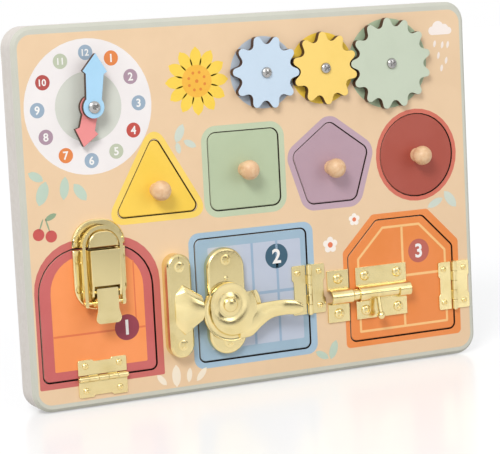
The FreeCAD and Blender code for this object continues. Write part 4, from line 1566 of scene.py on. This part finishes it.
@dataclass
class SashFastener:
    """The hooded keeper, base plate and cam lever on the square door."""

    hub: Spot = (-25.8, 52.0)
    lever_low: float = 5.6
    hub_out: float = 9.0
    hub_radius: float = 13.0
    hub_rim: float = 0.1
    bore: float = 2.65
    # The ring groove round the rivet, as (radius, depth under the hub's face)
    groove: tuple[Spot, ...] = ((8.2, 0.0), (7.8, 0.35), (7.2, 0.35), (6.8, 0.0))
    cam_radius: float = 19.3
    cam_shift: Spot = (2.5, -3.5)
    cam_top: float = 6.5
    # The cam's skirt as (radius, height over its underside), its shoulder as (radius, depth under the hub)
    skirt: tuple[Spot, ...] = ((19.3, 0.9), (18.9, 1.3), (17.6, 0.9), (16.4, 1.2), (15.6, 2.0))
    shoulder: tuple[Spot, ...] = ((15.3, 0.4), (15.1, 0.05), (14.9, 0.02))
    # The handle's ovals: reach and rise from the hub, half height, height over the face, half thickness
    stations: tuple[tuple[float, ...], ...] = (
        (6.0, -15.0, 6.5, 7.2, 1.5), (14.0, -12.4, 8.6, 7.3, 1.7), (20.5, -8.8, 7.0, 8.0, 1.7),
        (27.0, -6.2, 5.2, 9.6, 1.5), (35.0, -5.4, 4.7, 11.4, 1.3), (42.0, -6.2, 4.3, 12.0, 1.1),
        (46.5, -6.8, 2.6, 12.2, 0.9))
    handle_steps: int = 40
    rivet_shank: float = 2.6
    rivet_head: float = 4.6
    rivet_low: float = 0.1
    rivet_rise: float = 2.3
    rivet_rim: float = 0.5
    casting_ease: float = 0.5
    detent_ease: float = 0.1
    screw_head: float = 3.2
    screw_rise: float = 0.5
    keeper_screws: tuple[Spot, ...] = ((-57.5, 31.0), (-57.5, 77.9))
    keeper_seat: float = 8.5
    keeper_screw_depth: float = 13.0
    base_screws: tuple[Spot, ...] = ((-25.7, 28.6), (-25.7, 78.6))
    base_seat: float = 5.0
    base_screw_depth: float = 9.5

    def station(self, value: float) -> list[float]:
        """A station of the handle between the named ones, on a smooth curve through them.

        Args:
            value: Its place in the list of stations, as a number with a fraction.

        Returns:
            The station.
        """
        last = len(self.stations) - 1
        i = min(int(value), last - 1)
        share = value - i
        around = [self.stations[max(0, min(last, i + k))] for k in (-1, 0, 1, 2)]
        result = []
        for a, b, c, d in zip(*around):
            result.append(0.5 * (2 * b + (c - a) * share + (2 * a - 5 * b + 4 * c - d) * share ** 2
                                 + (3 * b - a - 3 * c + d) * share ** 3))
        return result

    def handle(self, work: Workpiece) -> None:
        """Sweep the handle's oval through its stations.

        Args:
            work: The piece that gets it.
        """
        rings = []
        for k in range(self.handle_steps + 1):
            value = k * (len(self.stations) - 1) / self.handle_steps
            reach, rise, half, out, thick = self.station(value)
            place = Matrix.Translation(spot(self.hub[0] + reach, self.hub[1] + rise, out)) \
                @ Matrix.Rotation(math.pi / 2, 4, "Y") @ Matrix.Diagonal((half, thick, 1, 1))
            ring = bmesh.ops.create_circle(work.mesh, cap_ends=False, segments=28, radius=MM, matrix=place)
            rings.append(ring["verts"])
        for one, two in zip(rings, rings[1:]):
            loops = [work.mesh.edges.get((ring[i - 1], ring[i]))
                     for ring in (one, two) for i in range(len(ring))]
            bmesh.ops.bridge_loops(work.mesh, edges=loops)
        for ring in (rings[0], rings[-1]):
            work.mesh.faces.new(ring)

    def lever(self) -> None:
        """The hub and the handle as one piece."""
        low, out, radius = self.lever_low, self.hub_out, self.hub_radius
        work = Workpiece("sash_lever_cast", Body.SASH_LEVER)
        self.handle(work)
        groove = [(r, out - deep) for r, deep in self.groove]
        work.lathe(*self.hub, [(self.bore, low), (radius, low), (radius, out - self.hub_rim),
                               (radius - self.hub_rim, out), *groove, (self.bore, out), (self.bore, low)],
                   steps=64)
        work.done(GOLD, ["sash_lever"], smooth=45)

    def cam(self) -> None:
        """The cam with its crescent skirt, cut straight above."""
        x, z = self.hub
        low, out = self.lever_low, self.hub_out
        profile = [(0, low), (self.cam_radius, low)]
        profile += [(radius, low + rise) for radius, rise in self.skirt]
        profile += [(radius, out - deep) for radius, deep in self.shoulder]
        profile.append((0, out - self.shoulder[-1][1]))
        cam = Workpiece("sash_cam_cast", Body.SASH_LEVER)
        cam.lathe(x + self.cam_shift[0], z + self.cam_shift[1], profile, steps=72)
        everything = cam.mesh.verts[:] + cam.mesh.edges[:] + cam.mesh.faces[:]
        bmesh.ops.bisect_plane(cam.mesh, geom=everything, plane_co=spot(x, z + self.cam_top),
                               plane_no=Vector((0, 0, 1)), clear_outer=True)
        holes = [e for e in cam.mesh.edges if e.is_boundary]
        bmesh.ops.holes_fill(cam.mesh, edges=holes)
        cam.done(GOLD, smooth=45)

    def rivet(self) -> None:
        """The domed rivet that the lever turns on."""
        foot, shank, head = self.rivet_low, self.rivet_shank, self.rivet_head
        low = self.hub_out + foot
        rim = low + self.rivet_rim
        dome = self.rivet_rise - self.rivet_rim
        angles = [math.radians(a) for a in range(15, 90, 15)]
        arc = [(head * math.cos(a), rim + dome * math.sin(a)) for a in angles]
        work = Workpiece("sash_rivet_turned", Body.DOOR_2)
        work.lathe(*self.hub, [(0, foot), (shank, foot), (shank, low), (head, low), (head, rim), *arc,
                               (0, low + self.rivet_rise)], steps=40)
        work.done(GOLD, ["sash_rivet"], smooth=60)

    def build(self) -> None:
        """Plate the castings and make the lever, the rivet and the screws."""
        dress("sash_keeper", GOLD, self.casting_ease)
        dress("sash_base", GOLD, self.casting_ease)
        dress("sash_detent", GOLD, self.detent_ease)
        self.lever()
        self.cam()
        self.rivet()
        ScrewSet("sash_keeper_screws", Body.BOARD, self.keeper_screws, self.keeper_seat, self.screw_head,
                 self.screw_rise, GOLD, depth=self.keeper_screw_depth).build()
        ScrewSet("sash_base_screws", Body.DOOR_2, self.base_screws, self.base_seat, self.screw_head,
                 self.screw_rise, GOLD, depth=self.base_screw_depth).build()


@dataclass
class BarrelBolt:
    """The pressed keeper, barrel, rod and knob on the third door."""

    z: float = 47.2
    axis_out: float = 3.8
    pressing_ease: float = 0.25
    rod_ease: float = 0.3
    knob_x: float = 77.6
    lean: float = 14.0
    stem: float = 1.5
    stem_start: float = 2.7
    stem_length: float = 12.6
    ball: float = 2.6
    ball_out: float = 2.1
    eye_bore: float = 2.55
    eye_radius: float = 3.5
    eye_half: float = 1.75
    screw_rows: float = 10.9
    keeper_screw_x: float = 51.6
    barrel_screw_x: Spot = (70.5, 93.5)
    screw_seat: float = 1.2
    screw_head: float = 3.2
    screw_rise: float = 1.3

    def knob(self) -> bpy.types.Object:
        """The stem and the ball, which lean down from the rod.

        Returns:
            The piece.
        """
        work = Workpiece("bolt_knob_turned", Body.BOLT_KNOB)
        lean = math.radians(self.lean)
        way = Vector((0, -math.sin(lean), -math.cos(lean)))
        foot = spot(self.knob_x, self.z, self.axis_out)
        work.bar(foot + way * self.stem_start * MM, foot + way * self.stem_length * MM, self.stem)
        place = Matrix.Translation(foot + way * (self.stem_length + self.ball_out) * MM)
        bmesh.ops.create_uvsphere(work.mesh, u_segments=28, v_segments=18, radius=self.ball * MM,
                                  matrix=place)
        return work.done(GOLD, smooth=50)

    def eye(self) -> None:
        """The eye round the rod's neck."""
        work = Workpiece("bolt_eye_turned", Body.BOLT_KNOB)
        centre = spot(self.knob_x, self.z, self.axis_out)
        section = ((-self.eye_half, self.eye_bore), (-self.eye_half, self.eye_radius),
                   (self.eye_half, self.eye_radius), (self.eye_half, self.eye_bore))
        chain = [work.mesh.verts.new(centre + Vector((along * MM, -radius * MM, 0)))
                 for along, radius in section]
        edges = [work.mesh.edges.new((chain[i], chain[(i + 1) % 4])) for i in range(4)]
        work.spin(chain, edges, centre, Vector((1, 0, 0)), steps=32)
        work.done(GOLD, smooth=40)

    def screws(self, node: str, body: Body, across: Sequence[float]) -> None:
        """Turn one part's screws, in two rows.

        Args:
            node: Their node.
            body: The body that holds them.
            across: Where they stand across, in millimetres.
        """
        places = tuple((x, self.z + side * self.screw_rows) for x in across for side in (-1, 1))
        ScrewSet(node, body, places, self.screw_seat, self.screw_head, self.screw_rise, GOLD).build()

    def build(self) -> None:
        """Plate the pressings and the rod, and make the knob and screws."""
        dress("bolt_keeper", GOLD, self.pressing_ease)
        dress("bolt_barrel", GOLD, self.pressing_ease)
        dress("bolt_rod", GOLD, self.rod_ease)
        knob = self.knob()
        self.eye()
        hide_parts("bolt_knob")
        self.screws("bolt_keeper_screws", Body.BOARD, [self.keeper_screw_x])
        self.screws("bolt_barrel_screws", Body.DOOR_3, self.barrel_screw_x)


# Stage

@dataclass(frozen=True)
class Lamp:
    """An area lamp: place and size in metres, power in watts."""

    name: str
    place: Point
    size: float
    power: float


@dataclass(frozen=True)
class Card:
    """A dark card that only shows in the metal: place and size in metres."""

    name: str
    place: Point
    size: float
    tone: float


@dataclass
class Stage:
    """Floor, background, lamps, dark cards that the metal mirrors, and the camera."""

    eye: Point = (-0.51289, -1.08188, 0.24309)
    lens: float = 142.5
    yaw: float = 25.309
    pitch: float = 7.074
    roll: float = -2.900
    near: float = 0.05
    sky: float = 0.55
    sky_tone: Colour = (0.97, 0.98, 1.0, 1.0)
    floor_half: float = 6.0
    floor_z: float = -0.0006
    floor_tone: Colour = (0.6, 0.6, 0.6, 1.0)
    floor_glow: float = 0.40
    floor_gloss: float = 0.2
    floor_shine: float = 0.1
    aim: Point = (0.0, 0.0, 0.11)
    lamps: tuple[Lamp, ...] = (Lamp("key_lamp", (-0.95, -1.15, 1.15), 0.55, 16.6),
                               Lamp("fill_lamp", (0.9, -1.3, 0.6), 0.9, 4.5))
    # Green and blue of a card as shares of its red
    card_warmth: Spot = (0.85, 0.7)
    card_gloss: float = 0.9
    cards: tuple[Card, ...] = (Card("dark_card_low", (0.35, -0.9, 0.0), 0.5, 0.05),
                               Card("dark_card_right", (1.2, -0.9, 0.5), 0.8, 0.06),
                               Card("dark_card_left", (-1.3, -0.5, 0.25), 0.5, 0.08))

    def camera(self) -> None:
        """Set the camera that the picture was fitted with."""
        yaw, pitch, roll = (math.radians(a) for a in (self.yaw, self.pitch, self.roll))
        ahead = Vector((math.sin(yaw) * math.cos(pitch), math.cos(yaw) * math.cos(pitch), -math.sin(pitch)))
        right = Vector((math.cos(yaw), -math.sin(yaw), 0))
        up = right.cross(ahead)
        leaned_right = math.cos(roll) * right + math.sin(roll) * up
        leaned_up = -math.sin(roll) * right + math.cos(roll) * up
        data = bpy.data.cameras.new("camera")
        data.lens = self.lens
        data.sensor_width = 36.0
        data.sensor_fit = "HORIZONTAL"
        data.clip_start = self.near
        made = bpy.data.objects.new("camera", data)
        bpy.context.scene.collection.objects.link(made)
        turned = Matrix((leaned_right, leaned_up, -ahead)).transposed()
        made.matrix_world = Matrix.Translation(Vector(self.eye)) @ turned.to_4x4()
        bpy.context.scene.camera = made

    def world(self) -> None:
        """A white background that lights the object at a plain level."""
        world = bpy.data.worlds.new("white_room")
        bpy.context.scene.world = world
        world.use_nodes = True
        wiring = Wiring(world.node_tree)
        world.node_tree.nodes.clear()
        path = wiring.add("ShaderNodeLightPath").outputs
        seen = wiring.math("ADD", path["Is Camera Ray"], path["Is Glossy Ray"])
        seen = wiring.math("ADD", seen, path["Is Transmission Ray"], clamp=True)
        plain = wiring.add("ShaderNodeBackground", {"Color": self.sky_tone, "Strength": self.sky})
        white = wiring.add("ShaderNodeBackground", {"Color": FULL_WHITE, "Strength": 1.0})
        both = wiring.add("ShaderNodeMixShader", {0: seen, 1: plain.outputs[0], 2: white.outputs[0]})
        wiring.add("ShaderNodeOutputWorld", {0: both.outputs[0]})

    def sheet(self, name: str, half: float, paint: bpy.types.Material) -> bpy.types.Object:
        """A flat square that belongs to the stage.

        Args:
            name: Its name.
            half: Half its side, in metres.
            paint: Its material.

        Returns:
            The square, at the origin.
        """
        mesh = bmesh.new()
        bmesh.ops.create_grid(mesh, x_segments=1, y_segments=1, size=half)
        data = bpy.data.meshes.new(name)
        mesh.to_mesh(data)
        mesh.free()
        made = bpy.data.objects.new(name, data)
        bpy.context.scene.collection.objects.link(made)
        data.materials.append(paint)
        return made

    def paint(self, name: str, inputs: dict[str, object]) -> tuple[bpy.types.Material, Wiring]:
        """A plain material of the stage.

        Args:
            name: Its name.
            inputs: Values of its shader by input name.

        Returns:
            The material and its wiring.
        """
        made = bpy.data.materials.new(name)
        made.use_nodes = True
        wiring = Wiring(made.node_tree)
        wiring.feed(made.node_tree.nodes["Principled BSDF"], inputs)
        return made, wiring

    def floor(self) -> None:
        """A white floor that keeps the shadow and a faint mirror image."""
        paint, wiring = self.paint("floor_white", {
            "Base Color": self.floor_tone, "Roughness": self.floor_gloss,
            "Specular IOR Level": self.floor_shine, "Emission Color": FULL_WHITE})
        path = wiring.add("ShaderNodeLightPath").outputs
        seen = wiring.math("ADD", path["Is Camera Ray"], path["Is Glossy Ray"], clamp=True)
        glow = wiring.math("MULTIPLY", seen, self.floor_glow)
        wiring.feed(paint.node_tree.nodes["Principled BSDF"], {"Emission Strength": glow})
        self.sheet("floor", self.floor_half, paint).location.z = self.floor_z

    def turn_to_board(self, made: bpy.types.Object, place: Point, axis: str) -> None:
        """Set a lamp or card in its place, facing the board and hidden from the camera.

        Args:
            made: The lamp or card.
            place: Its place, in metres.
            axis: Which of its axes points at the board.
        """
        made.location = place
        made.rotation_euler = (Vector(self.aim) - Vector(place)).to_track_quat(axis, "Y").to_euler()
        made.visible_camera = False

    def light(self, lamp: Lamp) -> None:
        """Hang an area lamp that looks at the middle of the board.

        Args:
            lamp: The lamp.
        """
        data = bpy.data.lights.new(lamp.name, "AREA")
        data.size = lamp.size
        data.energy = lamp.power
        made = bpy.data.objects.new(lamp.name, data)
        bpy.context.scene.collection.objects.link(made)
        self.turn_to_board(made, lamp.place, "-Z")

    def hang(self, card: Card) -> None:
        """Hang a dark card that only the metal mirrors.

        Args:
            card: The card.
        """
        green, blue = (card.tone * share for share in self.card_warmth)
        paint, _ = self.paint(card.name + "_tone", {"Base Color": (card.tone, green, blue, 1.0),
                                                    "Roughness": self.card_gloss})
        made = self.sheet(card.name, card.size / 2, paint)
        self.turn_to_board(made, card.place, "Z")
        made.visible_diffuse = False
        made.visible_shadow = False

    def build(self) -> None:
        """Set the whole stage."""
        self.camera()
        self.world()
        self.floor()
        for lamp in self.lamps:
            self.light(lamp)
        for card in self.cards:
            self.hang(card)
        bpy.context.scene.view_settings.view_transform = "Standard"


def main() -> None:
    """Build every sub-assembly in order and log each one."""
    logging.basicConfig(level=logging.INFO)
    hinges = (Hinge(number=1, x=-106.6, z=17.45, turn=90.0, door=Body.DOOR_1),
              Hinge(number=2, x=31.45, z=53.7, turn=0.0, door=Body.DOOR_2),
              Hinge(number=3, x=134.95, z=45.0, turn=0.0, door=Body.DOOR_3))
    for part in (BoardPanels(), Clock(), GearTrain(), Puzzle(), DoorPrints(), Ornaments(), *hinges,
                 ToggleLatch(), SashFastener(), BarrelBolt(), Stage()):
        part.build()
        log.info("built %s", type(part).__name__)


if __name__ == "__main__":
    main()
